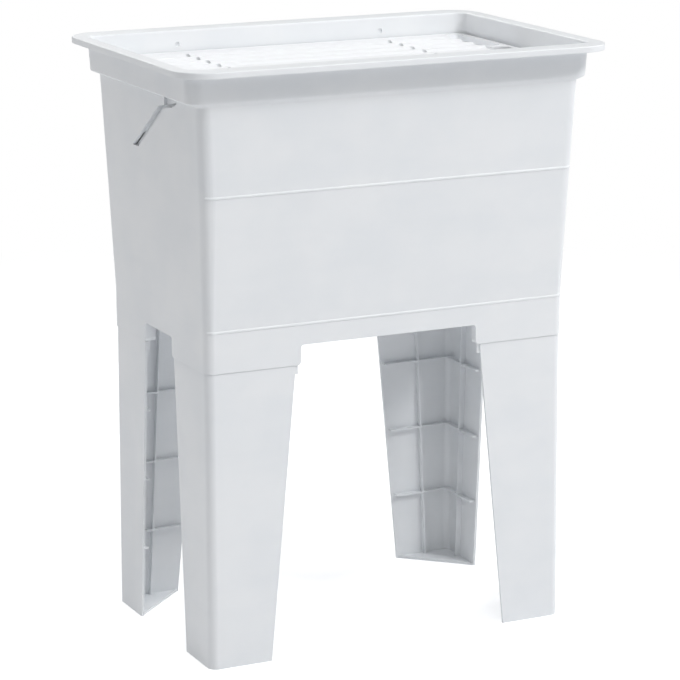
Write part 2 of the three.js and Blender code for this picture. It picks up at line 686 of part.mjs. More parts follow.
// ---------------------------------------------------------------- washboard
function buildWashboard() {
  const length = collarWidth - 2 * (COLLAR_TAPER + WALL + BOARD_END_CLEARANCE);
  const depth = collarDepth - 2 * (COLLAR_TAPER + WALL + BOARD_SIDE_CLEARANCE);
  const troughOuter = length / 2 - BOARD_LIP;
  const troughInner = troughOuter - TROUGH_WIDTH;
  let board = loft([
    ring(length, depth, BOARD_CORNER_RADIUS, boardBottom),
    ring(length, depth, BOARD_CORNER_RADIUS, boardTop - BOARD_EDGE_ROUND),
    ring(length - 2 * BOARD_EDGE_ROUND, depth - 2 * BOARD_EDGE_ROUND, BOARD_CORNER_RADIUS, boardTop),
  ]);

  // washing ribs: each rises gently towards the front and drops steeply behind the next valley
  const firstValley = -RIB_PITCH * (RIB_COUNT - 1) / 2;
  const gentleRun = Math.min(RIB_PITCH - RIB_STEEP_RUN, depth / 2 + firstValley - BOARD_LIP);
  for (let i = 0; i < RIB_COUNT; i += 1) {
    const valley = firstValley + i * RIB_PITCH;
    const shape = new THREE.Shape();
    shape.moveTo(valley - gentleRun, boardTop);
    shape.splineThru([
      new THREE.Vector2(valley - gentleRun * 0.45, boardTop - RIB_DEPTH * 0.62),
      new THREE.Vector2(valley, boardTop - RIB_DEPTH),
      new THREE.Vector2(valley + RIB_STEEP_RUN * 0.55, boardTop - RIB_DEPTH * 0.5),
      new THREE.Vector2(valley + RIB_STEEP_RUN, boardTop),
    ]);
    shape.lineTo(valley + RIB_STEEP_RUN, boardTop + OVERCUT);
    shape.lineTo(valley - gentleRun, boardTop + OVERCUT);
    board = board.subtract(alongX(shape, -troughInner, troughInner, 1));
    [-1, 1].forEach((side) => {
      const slot = roundedRectangle(DRAIN_SLOT_LENGTH, DRAIN_SLOT_WIDTH, DRAIN_SLOT_WIDTH / 2);
      const drain = prism(slot, boardBottom - OVERCUT, boardTop + OVERCUT, SMALL_ARC_STEPS);
      board = board.subtract(drain.translate([side * DRAIN_SLOT_SPACING / 2, valley, 0]));
    });
  }

  // drain troughs at both ends, each split by the land that carries a finger slot
  const landHalf = FINGER_SLOT_LENGTH / 2 + FINGER_SLOT_LAND;
  const troughEnd = depth / 2 - BOARD_LIP - FINGER_SLOT_LAND / 2;
  const troughLength = troughEnd - landHalf;
  const troughX = (troughInner + troughOuter) / 2;
  const slotX = troughOuter - FINGER_SLOT_WIDTH / 2;
  [-1, 1].forEach((side) => {
    [-1, 1].forEach((half) => {
      const shape = roundedRectangle(TROUGH_WIDTH, troughLength, TROUGH_END_RADIUS);
      const trough = prism(shape, boardTop - TROUGH_DEPTH, boardTop + OVERCUT);
      board = board.subtract(trough.translate([side * troughX, half * (landHalf + troughLength / 2), 0]));
    });
    const slot = roundedRectangle(FINGER_SLOT_WIDTH, FINGER_SLOT_LENGTH, FINGER_SLOT_WIDTH / 2);
    const grip = prism(slot, boardBottom - OVERCUT, boardTop + OVERCUT, ARC_STEPS + 2);
    board = board.subtract(grip.translate([side * slotX, 0, 0]));
  });

  // bays under the ribbed field leave a thin skin on a grid of webs
  const ceiling = boardTop - RIB_DEPTH - BOARD_SKIN;
  const fieldHalf = Math.min(troughInner, slotX - FINGER_SLOT_WIDTH / 2) - BOARD_WEB;
  const bayLength = (2 * fieldHalf + BOARD_WEB) / BOARD_BAYS - BOARD_WEB;
  const rowWeb = RIB_PITCH * 1.5;
  const edgeY = depth / 2 - BOARD_WEB;
  const rows = [
    [-edgeY, -rowWeb - BOARD_WEB / 2],
    [-rowWeb + BOARD_WEB / 2, rowWeb - BOARD_WEB / 2],
    [rowWeb + BOARD_WEB / 2, edgeY],
  ];
  for (let bay = 0; bay < BOARD_BAYS; bay += 1) {
    const start = -fieldHalf + bay * (bayLength + BOARD_WEB);
    rows.forEach(([near, far]) => {
      board = board.subtract(block(start, start + bayLength, near, far, boardBottom - OVERCUT, ceiling));
    });
  }
  return board;
}

// ---------------------------------------------------------------- waste
const upperGasketBottom = sumpTop + SEAT_GAP;
const strainerBottom = upperGasketBottom + GASKET_THICKNESS + SEAT_GAP;
const strainerTop = strainerBottom + STRAINER_FLANGE;
const gridTop = strainerTop - STRAINER_BOWL_DEPTH;
const lowerGasketTop = sumpUnderside - SEAT_GAP;
const cupTop = lowerGasketTop - GASKET_THICKNESS - SEAT_GAP;
const cupFloor = cupTop - CUP_DEPTH;

function washer(diameter, hole, bottom, top) {
  return turned([[hole / 2, bottom], [diameter / 2, bottom], [diameter / 2, top], [hole / 2, top], [hole / 2, bottom]]);
}

function buildStrainer() {
  const mouth = STRAINER_BOWL_DIAMETER / 2;
  const foot = mouth - STRAINER_BOWL_DRAFT;
  const rimRadius = STRAINER_DIAMETER / 2;
  let strainer = turned([
    [0, gridTop - STRAINER_SHEET],
    [foot + STRAINER_SHEET, gridTop - STRAINER_SHEET],
    [mouth + STRAINER_SHEET, strainerBottom],
    [rimRadius - 1, strainerBottom],
    [rimRadius, strainerBottom + STRAINER_FLANGE / 2],
    [rimRadius - 1.5, strainerTop],
    [mouth, strainerTop],
    [foot, gridTop],
    [0, gridTop],
  ]);
  const hole = (reach, angle) => disc(
    reach * Math.cos(angle), reach * Math.sin(angle),
    STRAINER_HOLE_DIAMETER, gridTop - STRAINER_SHEET - OVERCUT, gridTop + OVERCUT, 10,
  );
  for (let i = 0; i < STRAINER_INNER_HOLES; i += 1) {
    strainer = strainer.subtract(hole(foot * 0.44, (2 * Math.PI * i) / STRAINER_INNER_HOLES));
  }
  for (let i = 0; i < STRAINER_OUTER_HOLES; i += 1) {
    strainer = strainer.subtract(hole(foot * 0.8, (2 * Math.PI * (i + 0.5)) / STRAINER_OUTER_HOLES));
  }
  const screwHole = SCREW_DIAMETER + 2 * SEAT_GAP;
  return strainer.subtract(disc(0, 0, screwHole, gridTop - STRAINER_SHEET - OVERCUT, gridTop + OVERCUT, 16));
}

function buildWasteBody() {
  const cupOuter = (WASTE_HOLE_DIAMETER - 2) / 2;
  const pipe = OUTLET_DIAMETER / 2;
  const bore = pipe - OUTLET_WALL;
  const pipeEnd = cupFloor - OUTLET_LENGTH;
  const profile = [
    [cupOuter - CUP_WALL, cupTop],
    [cupOuter - CUP_WALL, cupFloor + CUP_WALL],
    [bore, cupFloor],
    [bore, pipeEnd],
    [pipe, pipeEnd],
    [pipe, cupFloor - OUTLET_WALL],
    [cupOuter, cupFloor],
    [cupOuter, cupTop - CUP_FLANGE],
    [GASKET_DIAMETER / 2, cupTop - CUP_FLANGE],
    [GASKET_DIAMETER / 2, cupTop],
    [cupOuter - CUP_WALL, cupTop],
  ];
  let body = turned(profile);
  const bossTop = cupFloor + CUP_WALL + SCREW_BOSS_HEIGHT / 2;
  const bossBottom = bossTop - SCREW_BOSS_HEIGHT;
  for (let i = 0; i < SCREW_BOSS_ARMS; i += 1) {
    const arm = block(
      0, bore + OUTLET_WALL / 2, -SCREW_BOSS_ARM_WIDTH / 2, SCREW_BOSS_ARM_WIDTH / 2,
      bossBottom, cupFloor,
    );
    body = body.add(arm.rotate([0, 0, (360 / SCREW_BOSS_ARMS) * i]));
  }
  body = body.add(disc(0, 0, SCREW_BOSS_DIAMETER, bossBottom, bossTop, 20));
  return body.subtract(disc(0, 0, SCREW_DIAMETER + 2 * SEAT_GAP, bossBottom - OVERCUT, bossTop + OVERCUT, 16));
}

function buildScrew() {
  const headBottom = gridTop + SEAT_GAP;
  const headTop = headBottom + SCREW_HEAD_HEIGHT;
  const end = cupFloor + CUP_WALL - SCREW_BOSS_HEIGHT / 2 - SCREW_DIAMETER / 2;
  const head = SCREW_HEAD_DIAMETER / 2;
  const shank = SCREW_DIAMETER / 2;
  const screw = turned([
    [0, end],
    [shank * 0.7, end],
    [shank, end + shank * 0.5],
    [shank, headBottom],
    [head, headBottom],
    [head, headTop - 1],
    [head - 1, headTop],
    [0, headTop],
  ], 16);
  const slot = block(-head, head, -SCREW_SLOT / 2, SCREW_SLOT / 2, headTop - SCREW_HEAD_HEIGHT / 2, headTop + OVERCUT);
  return screw.subtract(slot);
}

function buildPlug() {
  const mouth = STRAINER_BOWL_DIAMETER / 2 - SLIDE_GAP;
  const capBottom = strainerTop + SEAT_GAP;
  const capTop = capBottom + PLUG_CAP_HEIGHT;
  const plugDepth = (STRAINER_BOWL_DEPTH - SCREW_HEAD_HEIGHT) * 0.7;
  const plugFoot = capBottom - plugDepth;
  const draft = (STRAINER_BOWL_DRAFT * plugDepth) / STRAINER_BOWL_DEPTH;
  const neck = PLUG_GRIP_NECK_DIAMETER / 2;
  const grip = PLUG_GRIP_DIAMETER / 2;
  const gripTop = capTop + PLUG_GRIP_HEIGHT;
  return turned([
    [0, plugFoot],
    [mouth - draft - 1, plugFoot],
    [mouth - draft, plugFoot + 0.7],
    [mouth, capBottom],
    [PLUG_CAP_DIAMETER / 2 - 1, capBottom],
    [PLUG_CAP_DIAMETER / 2, capBottom + PLUG_CAP_HEIGHT * 0.4],
    [PLUG_CAP_DIAMETER / 2 - 3, capTop],
    [neck + 2, capTop],
    [neck, capTop + 2],
    [neck, gripTop - grip * 1.2],
    [grip, gripTop - grip * 0.8],
    [grip * 0.85, gripTop - grip * 0.25],
    [grip * 0.4, gripTop],
    [0, gripTop],
  ]);
}

// ---------------------------------------------------------------- the assembly
const group = new THREE.Group();
group.name = 'laundry_sink';

group.add(mesh('tub', buildTub(), finishes.whitePlastic));
group.add(mesh('washboard', buildWashboard(), finishes.boardPlastic));

const corners = [
  ['leg_front_left', -1, -1],
  ['leg_front_right', 1, -1],
  ['leg_back_left', -1, 1],
  ['leg_back_right', 1, 1],
];
corners.forEach(([name, sx, sy]) => group.add(mesh(name, buildLeg(sx, sy), finishes.whitePlastic)));

group.add(mesh(
  'upper_gasket',
  washer(GASKET_DIAMETER, WASTE_HOLE_DIAMETER, upperGasketBottom, upperGasketBottom + GASKET_THICKNESS),
  finishes.blackRubber,
));
group.add(mesh(
  'lower_gasket',
  washer(GASKET_DIAMETER, WASTE_HOLE_DIAMETER, lowerGasketTop - GASKET_THICKNESS, lowerGasketTop),
  finishes.blackRubber,
));
group.add(mesh('waste_strainer', buildStrainer(), finishes.steel));
group.add(mesh('strainer_screw', buildScrew(), finishes.steel));
group.add(mesh('waste_body', buildWasteBody(), finishes.fittingPlastic));
group.add(mesh('plug', buildPlug(), finishes.blackRubber));

export default group;
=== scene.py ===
"""Looks of a free-standing laundry sink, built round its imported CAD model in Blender 4.5.

The sink is a moulded white tub on four ribbed angle legs, with a washboard laid in its rim and a
waste with a plug in its floor. Sizes are in millimetres; a finished mesh is turned into metres.
"""

import json
import logging
import math
from collections.abc import Iterable, Sequence
from dataclasses import dataclass
from enum import Enum
from typing import Any, Union

import bmesh
import bpy
from mathutils import Matrix, Vector


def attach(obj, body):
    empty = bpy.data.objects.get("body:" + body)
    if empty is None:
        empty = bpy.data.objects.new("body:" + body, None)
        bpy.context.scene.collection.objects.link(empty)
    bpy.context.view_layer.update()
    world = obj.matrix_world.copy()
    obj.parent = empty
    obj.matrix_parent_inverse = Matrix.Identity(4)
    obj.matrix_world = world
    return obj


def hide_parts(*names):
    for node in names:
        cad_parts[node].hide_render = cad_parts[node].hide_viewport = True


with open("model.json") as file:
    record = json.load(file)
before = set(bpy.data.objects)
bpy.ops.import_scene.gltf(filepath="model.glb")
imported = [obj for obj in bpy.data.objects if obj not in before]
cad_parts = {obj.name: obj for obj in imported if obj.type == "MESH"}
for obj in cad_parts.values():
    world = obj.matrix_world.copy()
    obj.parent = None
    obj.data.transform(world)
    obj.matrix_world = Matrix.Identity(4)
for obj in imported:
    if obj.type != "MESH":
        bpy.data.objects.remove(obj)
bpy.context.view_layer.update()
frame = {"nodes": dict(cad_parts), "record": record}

LOG = logging.getLogger("laundry_sink")
MM = 0.001
WHITE = (1.0, 1.0, 1.0, 1.0)
SRGB_TOE, SRGB_SLOPE, SRGB_OFFSET, SRGB_GAMMA = 0.04045, 12.92, 0.055, 2.4
CRISP_ANGLE = 32.0  # edges sharper than this, in degrees, stay sharp
MERGE = 0.001  # points nearer to each other than this are one
PROUD = 1.0  # how far a cutting tool stands out of what it cuts
Loop = list[bmesh.types.BMEdge]
Point = tuple[float, float]


# ------------------------------------------------------------------------------------ options
class Axis(Enum):
    """The axis that a prism runs along."""

    X = 0
    Y = 1
    Z = 2


class Join(Enum):
    """How one solid is put together with another."""

    ADD = "UNION"
    CUT = "DIFFERENCE"
    KEEP = "INTERSECT"


class Side(Enum):
    """Left or right, as the sign of X."""

    LEFT = -1
    RIGHT = 1


class Face(Enum):
    """Front or back, as the sign of Y."""

    FRONT = -1
    BACK = 1


# ------------------------------------------------------------------------------------ shader maths
class Value:
    """A shader socket or a number that can be used in an expression."""

    def __init__(self, nodes: "Nodes", socket: Any) -> None:
        """Keeps a socket together with the node tree that it belongs to."""
        self.nodes = nodes
        self.socket = socket

    def _with(self, operation: str, *others: Any) -> "Value":
        """Adds a Math node that works on this value and others."""
        return self.nodes.add("ShaderNodeMath", {"operation": operation}, {
            i: value for i, value in enumerate((self, *others))
        })

    def __add__(self, other: Any) -> "Value":
        """This value plus another."""
        return self._with("ADD", other)

    def __radd__(self, other: Any) -> "Value":
        """Another value plus this one."""
        return self._with("ADD", other)

    def __sub__(self, other: Any) -> "Value":
        """This value less another."""
        return self._with("SUBTRACT", other)

    def __rsub__(self, other: Any) -> "Value":
        """Another value less this one."""
        return self.nodes.constant(other)._with("SUBTRACT", self)

    def __mul__(self, other: Any) -> "Value":
        """This value times another."""
        return self._with("MULTIPLY", other)

    def __rmul__(self, other: Any) -> "Value":
        """Another value times this one."""
        return self._with("MULTIPLY", other)

    def __pow__(self, other: Any) -> "Value":
        """This value to a power."""
        return self._with("POWER", other)

    def larger(self, other: Any) -> "Value":
        """The larger of this value and another."""
        return self._with("MAXIMUM", other)

    def clamped(self) -> "Value":
        """This value kept between 0 and 1."""
        return self.larger(0.0)._with("MINIMUM", 1.0)

    def beside(self, output: str) -> "Value":
        """Another output of the node that this value comes from."""
        return Value(self.nodes, self.socket.node.outputs[output])

    def band(self, low: float, high: float) -> "Value":
        """This value mapped from low..high to 0..1, smoothly.

        Args:
            low: The value that becomes 0.
            high: The value that becomes 1.

        Returns:
            The mapped value.
        """
        return self.nodes.add(
            "ShaderNodeMapRange",
            {"interpolation_type": "SMOOTHSTEP"},
            {"Value": self, "From Min": low, "From Max": high},
            "Result",
        )


Input = Union[Value, float, int, Sequence[float]]


class Nodes:
    """The node tree of one material or of the world, with one way to add a node."""

    def __init__(self, owner: bpy.types.ID) -> None:
        """Empties the tree of its owner."""
        self.owner = owner
        owner.use_nodes = True
        self.tree = owner.node_tree
        self.tree.nodes.clear()

    def constant(self, number: float) -> Value:
        """A bare number as a value, for the left side of an expression."""
        return Value(self, number)

    def add(
        self,
        kind: str,
        settings: dict[str, Any] | None = None,
        inputs: dict[Any, Input] | None = None,
        output: Any = 0,
    ) -> Value:
        """Adds any node.

        Args:
            kind: The node's type.
            settings: Properties, set before its sockets.
            inputs: Values or links by socket name or number.
            output: The output socket that is wanted, by name or number.

        Returns:
            The wanted output.
        """
        node = self.tree.nodes.new(kind)
        for key, value in (settings or {}).items():
            setattr(node, key, value)
        for key, value in (inputs or {}).items():
            self._feed(node.inputs[key], value)
        return Value(self, node.outputs[output]) if node.outputs else Value(self, node)

    def _feed(self, socket: bpy.types.NodeSocket, value: Input) -> None:
        """Links a socket to a value, or sets it."""
        if isinstance(value, Value) and isinstance(value.socket, bpy.types.NodeSocket):
            self.tree.links.new(value.socket, socket)
        elif isinstance(value, Value):
            socket.default_value = value.socket
        else:
            socket.default_value = value

    def place(self, scale: Sequence[float] = (1.0, 1.0, 1.0)) -> Value:
        """Object coordinates, in metres, stretched by a scale."""
        here = self.add("ShaderNodeTexCoord", output="Object")
        return self.add("ShaderNodeMapping", {}, {"Vector": here, "Scale": scale})

    def noise(
        self, size: float, detail: float = 2.0, stretch: Sequence[float] = (1.0, 1.0, 1.0),
    ) -> Value:
        """Soft noise.

        Args:
            size: The size of its spots in millimetres.
            detail: How many finer layers it has.
            stretch: How much finer it is along each axis.

        Returns:
            Noise around 0.5.
        """
        return self.add(
            "ShaderNodeTexNoise",
            {},
            {"Vector": self.place(stretch), "Scale": 1000.0 / size, "Detail": detail},
            "Fac",
        )

    def blend(self, factor: Input, first: Input, second: Input) -> Value:
        """Mixes two colours."""
        return self.add("ShaderNodeMix", {"data_type": "RGBA"}, {0: factor, 6: first, 7: second}, 2)

    def bump(
        self, height: Value, depth: float, strength: float, below: Value | None = None,
    ) -> Value:
        """A bump from a height map.

        Args:
            height: The height, 0 to 1.
            depth: The depth of a full step, in millimetres.
            strength: The strength of the bump.
            below: A coarser bump to lie on.

        Returns:
            The normal.
        """
        inputs: dict[Any, Input] = {"Height": height, "Distance": depth * MM, "Strength": strength}
        if below is not None:
            inputs["Normal"] = below
        return self.add("ShaderNodeBump", {}, inputs)

    def finish(self, shader: Value) -> bpy.types.Material:
        """Links a shader to the output and hands the material over."""
        self.add("ShaderNodeOutputMaterial", {}, {"Surface": shader})
        return self.owner


def colour(red: float, green: float, blue: float) -> tuple[float, float, float, float]:
    """A colour as it looks on screen, 0 to 255, as linear light with alpha 1."""
    linear = []
    for part in (red / 255, green / 255, blue / 255):
        if part <= SRGB_TOE:
            linear.append(part / SRGB_SLOPE)
        else:
            linear.append(((part + SRGB_OFFSET) / (1 + SRGB_OFFSET)) ** SRGB_GAMMA)
    return (linear[0], linear[1], linear[2], 1.0)


# ------------------------------------------------------------------------------------ finishes
@dataclass(frozen=True)
class MouldedPlastic:
    """White moulded polypropylene: satin, faintly mottled, with a fine spark-eroded grain.

    Attributes:
        name: The material's name.
        base: Its colour.
        shade: The colour of its thinner, slightly greyer patches.
        roughness: Its mean roughness.
        grain: The depth of its grain in millimetres.
        scuffs: How strongly use has scuffed it, 0 to 1.
        cloud, flow, speck, scratch, ripple, spark: The sizes of its patterns in millimetres.
        ripple_depth: How deep its broad ripples are in millimetres.
    """

    name: str
    base: tuple[float, float, float, float] = colour(240, 242, 244)
    shade: tuple[float, float, float, float] = colour(235, 238, 241)
    roughness: float = 0.42
    grain: float = 0.02
    scuffs: float = 0.3
    cloud: float = 90.0
    flow: float = 30.0
    speck: float = 1.6
    scratch: float = 2.2
    ripple: float = 55.0
    spark: float = 0.9
    ripple_depth: float = 0.25

    def make(self) -> bpy.types.Material:
        """Builds the material."""
        n = Nodes(bpy.data.materials.new(self.name))
        clouds = n.noise(self.cloud, 3.0).band(0.35, 0.65)
        flow = n.noise(self.flow, 3.0, (0.25, 0.25, 1.0)).band(0.4, 0.7)
        specks = n.noise(self.speck, 1.0).band(0.7, 0.8)
        scratches = n.noise(self.scratch, 2.0, (1.0, 0.06, 0.5)).band(0.62, 0.75) * self.scuffs
        tint = n.blend((clouds * 0.6 + flow * 0.3 + specks * 0.25).clamped(), self.base, self.shade)
        rough = n.constant(self.roughness) + (clouds - 0.5) * 0.05 + scratches * 0.12
        ripples = n.bump(n.noise(self.ripple, 1.0), self.ripple_depth, 0.35)
        grain = n.bump(n.noise(self.spark, 2.0), self.grain, 0.5, ripples)
        shader = n.add("ShaderNodeBsdfPrincipled", {}, {
            "Base Color": tint,
            "Roughness": rough.clamped(),
            "Normal": grain,
            "IOR": 1.49,
            "Subsurface Weight": 0.0,
        })
        return n.finish(shader)


@dataclass(frozen=True)
class PressedSteel:
    """Stainless steel, turned or pressed, brushed in fine rings round the waste.

    Attributes:
        name: The material's name.
        base: Its colour.
        roughness: Its mean roughness.
    """

    name: str
    base: tuple[float, float, float, float] = colour(206, 209, 212)
    roughness: float = 0.24

    def make(self) -> bpy.types.Material:
        """Builds the material."""
        n = Nodes(bpy.data.materials.new(self.name))
        here = n.add("ShaderNodeTexCoord", output="Object")
        x = n.add("ShaderNodeSeparateXYZ", {}, {0: here}, "X")
        y = x.beside("Y")
        reach = (x * x + y * y) ** 0.5
        rings = n.add("ShaderNodeCombineXYZ", {}, {"X": reach * 9.0, "Y": x * 0.4, "Z": y * 0.4})
        fine = n.add("ShaderNodeTexNoise", {}, {"Vector": rings, "Scale": 420.0, "Detail": 3.0}, "Fac")
        stains = n.noise(14.0, 4.0).band(0.5, 0.75)
        tint = n.blend(stains * 0.5, self.base, colour(176, 178, 180))
        rough = n.constant(self.roughness) + fine * 0.12 + stains * 0.12
        shader = n.add("ShaderNodeBsdfPrincipled", {}, {
            "Base Color": tint,
            "Metallic": 1.0,
            "Roughness": rough.clamped(),
            "Normal": n.bump(fine, 0.02, 0.4),
        })
        return n.finish(shader)


@dataclass(frozen=True)
class MouldedRubber:
    """Black rubber with a dull bloom and dust in its grain.

    Attributes:
        name: The material's name.
        base: Its colour.
        bloom: The colour of the bloom.
    """

    name: str
    base: tuple[float, float, float, float] = colour(36, 37, 39)
    bloom: tuple[float, float, float, float] = colour(74, 75, 77)

    def make(self) -> bpy.types.Material:
        """Builds the material."""
        n = Nodes(bpy.data.materials.new(self.name))
        patches = n.noise(9.0, 4.0).band(0.45, 0.8)
        grit = n.noise(0.7, 2.0)
        tint = n.blend((patches * 0.6 + grit.band(0.6, 0.8) * 0.3).clamped(), self.base, self.bloom)
        shader = n.add("ShaderNodeBsdfPrincipled", {}, {
            "Base Color": tint,
            "Roughness": (patches * 0.14 + 0.6).clamped(),
            "Normal": n.bump(grit, 0.05, 0.5),
        })
        return n.finish(shader)


@dataclass(frozen=True)
class StudioFloor:
    """A pale floor that looks white to the camera and keeps the soft shadow of what stands on it.

    Attributes:
        name: The material's name.
        base: Its colour for all other light.
        lift: How much it glows to the camera alone.
        near: How far out, in metres, the plain white backdrop begins to take over.
        far: How far out it has taken over.
    """

    name: str
    base: tuple[float, float, float, float] = colour(236, 237, 239)
    lift: float = 0.5
    near: float = 1.0
    far: float = 2.5

    def make(self) -> bpy.types.Material:
        """Builds the material."""
        n = Nodes(bpy.data.materials.new(self.name))
        clouds = n.noise(700.0, 3.0).band(0.3, 0.7)
        plain = n.add("ShaderNodeBsdfPrincipled", {}, {
            "Base Color": n.blend(clouds * 0.3, self.base, colour(232, 233, 236)),
            "Roughness": 0.9,
            "Specular IOR Level": 0.0,
        })
        glow = n.add("ShaderNodeEmission", {}, {"Color": WHITE, "Strength": self.lift})
        lifted = n.add("ShaderNodeAddShader", {}, {0: plain, 1: glow})
        white = n.add("ShaderNodeEmission", {}, {"Color": WHITE, "Strength": 1.0})
        out = n.add("ShaderNodeVectorMath", {"operation": "LENGTH"}, {0: n.place()}, "Value")
        reach = out.band(self.near, self.far)
        shown = n.add("ShaderNodeMixShader", {}, {0: reach, 1: lifted, 2: white})
        ray = n.add("ShaderNodeLightPath", output="Is Camera Ray")
        seen = (ray + ray.beside("Is Glossy Ray") + ray.beside("Is Transmission Ray")).clamped()
        return n.finish(n.add("ShaderNodeMixShader", {}, {0: seen, 1: plain, 2: shown}))


# ------------------------------------------------------------------------------------ mesh making
@dataclass(frozen=True)
class Plan:
    """A rounded rectangle seen from above.

    Attributes:
        width: Its size along X.
        depth: Its size along Y.
        radius: The radius of its corners.
    """

    width: float
    depth: float
    radius: float

    def inset(self, by: float, radius: float | None = None) -> "Plan":
        """The same rectangle drawn in on all sides."""
        rounder = max(self.radius - by, 1.0) if radius is None else radius
        return Plan(self.width - 2 * by, self.depth - 2 * by, rounder)


def oblong(centre: Point, size: Point) -> list[Point]:
    """The corners of a rectangle about its centre."""
    x, y = centre
    a, b = size[0] / 2, size[1] / 2
    return [(x - a, y - b), (x + a, y - b), (x + a, y + b), (x - a, y + b)]


class Mould:
    """A closed mesh in the making, in millimetres."""

    CORNER_STEPS = 8
    PRISM_STEPS = 6
    EDGE_STEPS = 4
    SLOT_ROUND = 0.999  # of half its width, so that a slot's two ends never touch

    def __init__(self) -> None:
        """Starts with an empty mesh."""
        self.bm = bmesh.new()

    def _made(self, known: set[bmesh.types.BMFace]) -> list[bmesh.types.BMFace]:
        """The faces that weren't there before."""
        return [face for face in self.bm.faces if face not in known]

    def round_corners(self, corners: Sequence[bmesh.types.BMVert], radius: float, steps: int) -> None:
        """Rounds corners of a flat face."""
        bmesh.ops.bevel(
            self.bm, geom=corners, offset=radius, offset_type="OFFSET", affect="VERTICES",
            segments=steps, profile=0.5, material=-1,
        )

    def ring(self, plan: Plan, z: float, sides: int = 0) -> Loop:
        """A rounded rectangle of edges.

        Args:
            plan: Its size and corner radius.
            z: Its level.
            sides: How many more points each straight side gets.

        Returns:
            Its edges.
        """
        known = set(self.bm.faces)
        place = Matrix.Translation((0, 0, z)) @ Matrix.Diagonal((plan.width, plan.depth, 1, 1))
        grid = bmesh.ops.create_grid(self.bm, x_segments=1, y_segments=1, size=0.5, matrix=place)
        self.round_corners(grid["verts"], plan.radius, self.CORNER_STEPS)
        face = self._made(known)[0]
        if sides:
            straight = [edge for edge in face.edges if edge.calc_length() > plan.radius]
            bmesh.ops.subdivide_edges(self.bm, edges=straight, cuts=sides)
            face = self._made(known)[0]
        edges = list(face.edges)
        bmesh.ops.delete(self.bm, geom=[face], context="FACES_ONLY")
        return edges

    def circle(self, radius: float, z: float, steps: int) -> Loop:
        """A circle of edges."""
        known = set(self.bm.edges)
        place = Matrix.Translation((0, 0, z))
        bmesh.ops.create_circle(self.bm, segments=steps, radius=radius, matrix=place)
        return [edge for edge in self.bm.edges if edge not in known]

    def wall(self, loops: Sequence[Loop]) -> None:
        """Joins each loop to the next by a wall of faces."""
        for lower, upper in zip(loops, loops[1:]):
            bmesh.ops.bridge_loops(self.bm, edges=[*lower, *upper])

    def cap(self, loop: Loop) -> None:
        """Closes a loop with a face."""
        bmesh.ops.edgeloop_fill(self.bm, edges=loop)

    def solid(self, loops: Sequence[Loop]) -> None:
        """Joins each loop to the next and closes both ends."""
        self.wall(loops)
        self.cap(loops[0])
        self.cap(loops[-1])

    def soften(
        self, edges: Iterable[bmesh.types.BMEdge], radius: float, segments: int = EDGE_STEPS,
    ) -> None:
        """Rounds edges with a radius."""
        bmesh.ops.bevel(
            self.bm, geom=list(edges), offset=radius, offset_type="OFFSET", affect="EDGES",
            segments=segments, profile=0.5, material=-1, clamp_overlap=True,
        )

    def crease(self, edges: Iterable[bmesh.types.BMEdge]) -> None:
        """Keeps edges crisp, where two flat walls meet at a slight angle."""
        for edge in edges:
            edge.smooth = False

    def prism(
        self, outline: Sequence[Point], axis: Axis, low: float, high: float,
        rounds: dict[int, float] | None = None,
    ) -> None:
        """A polygon run along an axis.

        Args:
            outline: Its corners, in the other two axes in X, Y, Z order.
            axis: The axis that it runs along.
            low: Where it starts.
            high: Where it ends.
            rounds: The radius of each corner that is rounded, by its number.
        """
        known = set(self.bm.faces)
        corners = [self.bm.verts.new(self._point(axis, low, place)) for place in outline]
        self.bm.faces.new(corners)
        by_radius: dict[float, list[bmesh.types.BMVert]] = {}
        for number, radius in (rounds or {}).items():
            by_radius.setdefault(radius, []).append(corners[number])
        for radius, chosen in by_radius.items():
            self.round_corners(chosen, radius, self.PRISM_STEPS)
        start = self._made(known)
        moved = bmesh.ops.extrude_face_region(self.bm, geom=start, use_keep_orig=True)
        away = [item for item in moved["geom"] if isinstance(item, bmesh.types.BMVert)]
        bmesh.ops.translate(self.bm, verts=away, vec=self._point(axis, high - low, (0.0, 0.0)))

    @staticmethod
    def _point(axis: Axis, along: float, across: Point) -> Vector:
        """A point from its place along an axis and its place across it."""
        place = list(across)
        place.insert(axis.value, along)
        return Vector(place)

    def slot(self, centre: Point, size: Point, axis: Axis, low: float, high: float) -> None:
        """A prism with a stadium outline: a rectangle whose short sides are half circles."""
        radius = min(size) / 2 * self.SLOT_ROUND
        self.prism(oblong(centre, size), axis, low, high, dict.fromkeys(range(4), radius))

    def box(self, low: Sequence[float], high: Sequence[float]) -> None:
        """A block between two corners."""
        (x0, x1), (y0, y1), (z0, z1) = (sorted(pair) for pair in zip(low, high))
        self.prism([(x0, y0), (x1, y0), (x1, y1), (x0, y1)], Axis.Z, z0, z1)

    def piece(self, name: str) -> bpy.types.Object:
        """Closes the mesh and makes it an object in metres."""
        bm = self.bm
        bmesh.ops.remove_doubles(bm, verts=bm.verts, dist=MERGE)
        bmesh.ops.recalc_face_normals(bm, faces=bm.faces)
        bmesh.ops.scale(bm, vec=(MM, MM, MM), verts=bm.verts)
        mesh = bpy.data.meshes.new(name)
        bm.to_mesh(mesh)
        bm.free()
        made = bpy.data.objects.new(name, mesh)
        bpy.context.scene.collection.objects.link(made)
        return made


def combine(target: bpy.types.Object, tool: bpy.types.Object, how: Join) -> None:
    """Joins, cuts or trims one solid with another, which is then removed.

    Args:
        target: The solid that is changed.
        tool: The solid that changes it.
        how: What is done.
    """
    step = target.modifiers.new(how.name, "BOOLEAN")
    step.object = tool
    step.operation = how.value
    step.solver = "EXACT"
    step.use_self = True
    bake(target)
    leftover = tool.data
    bpy.data.objects.remove(tool)
    bpy.data.meshes.remove(leftover)


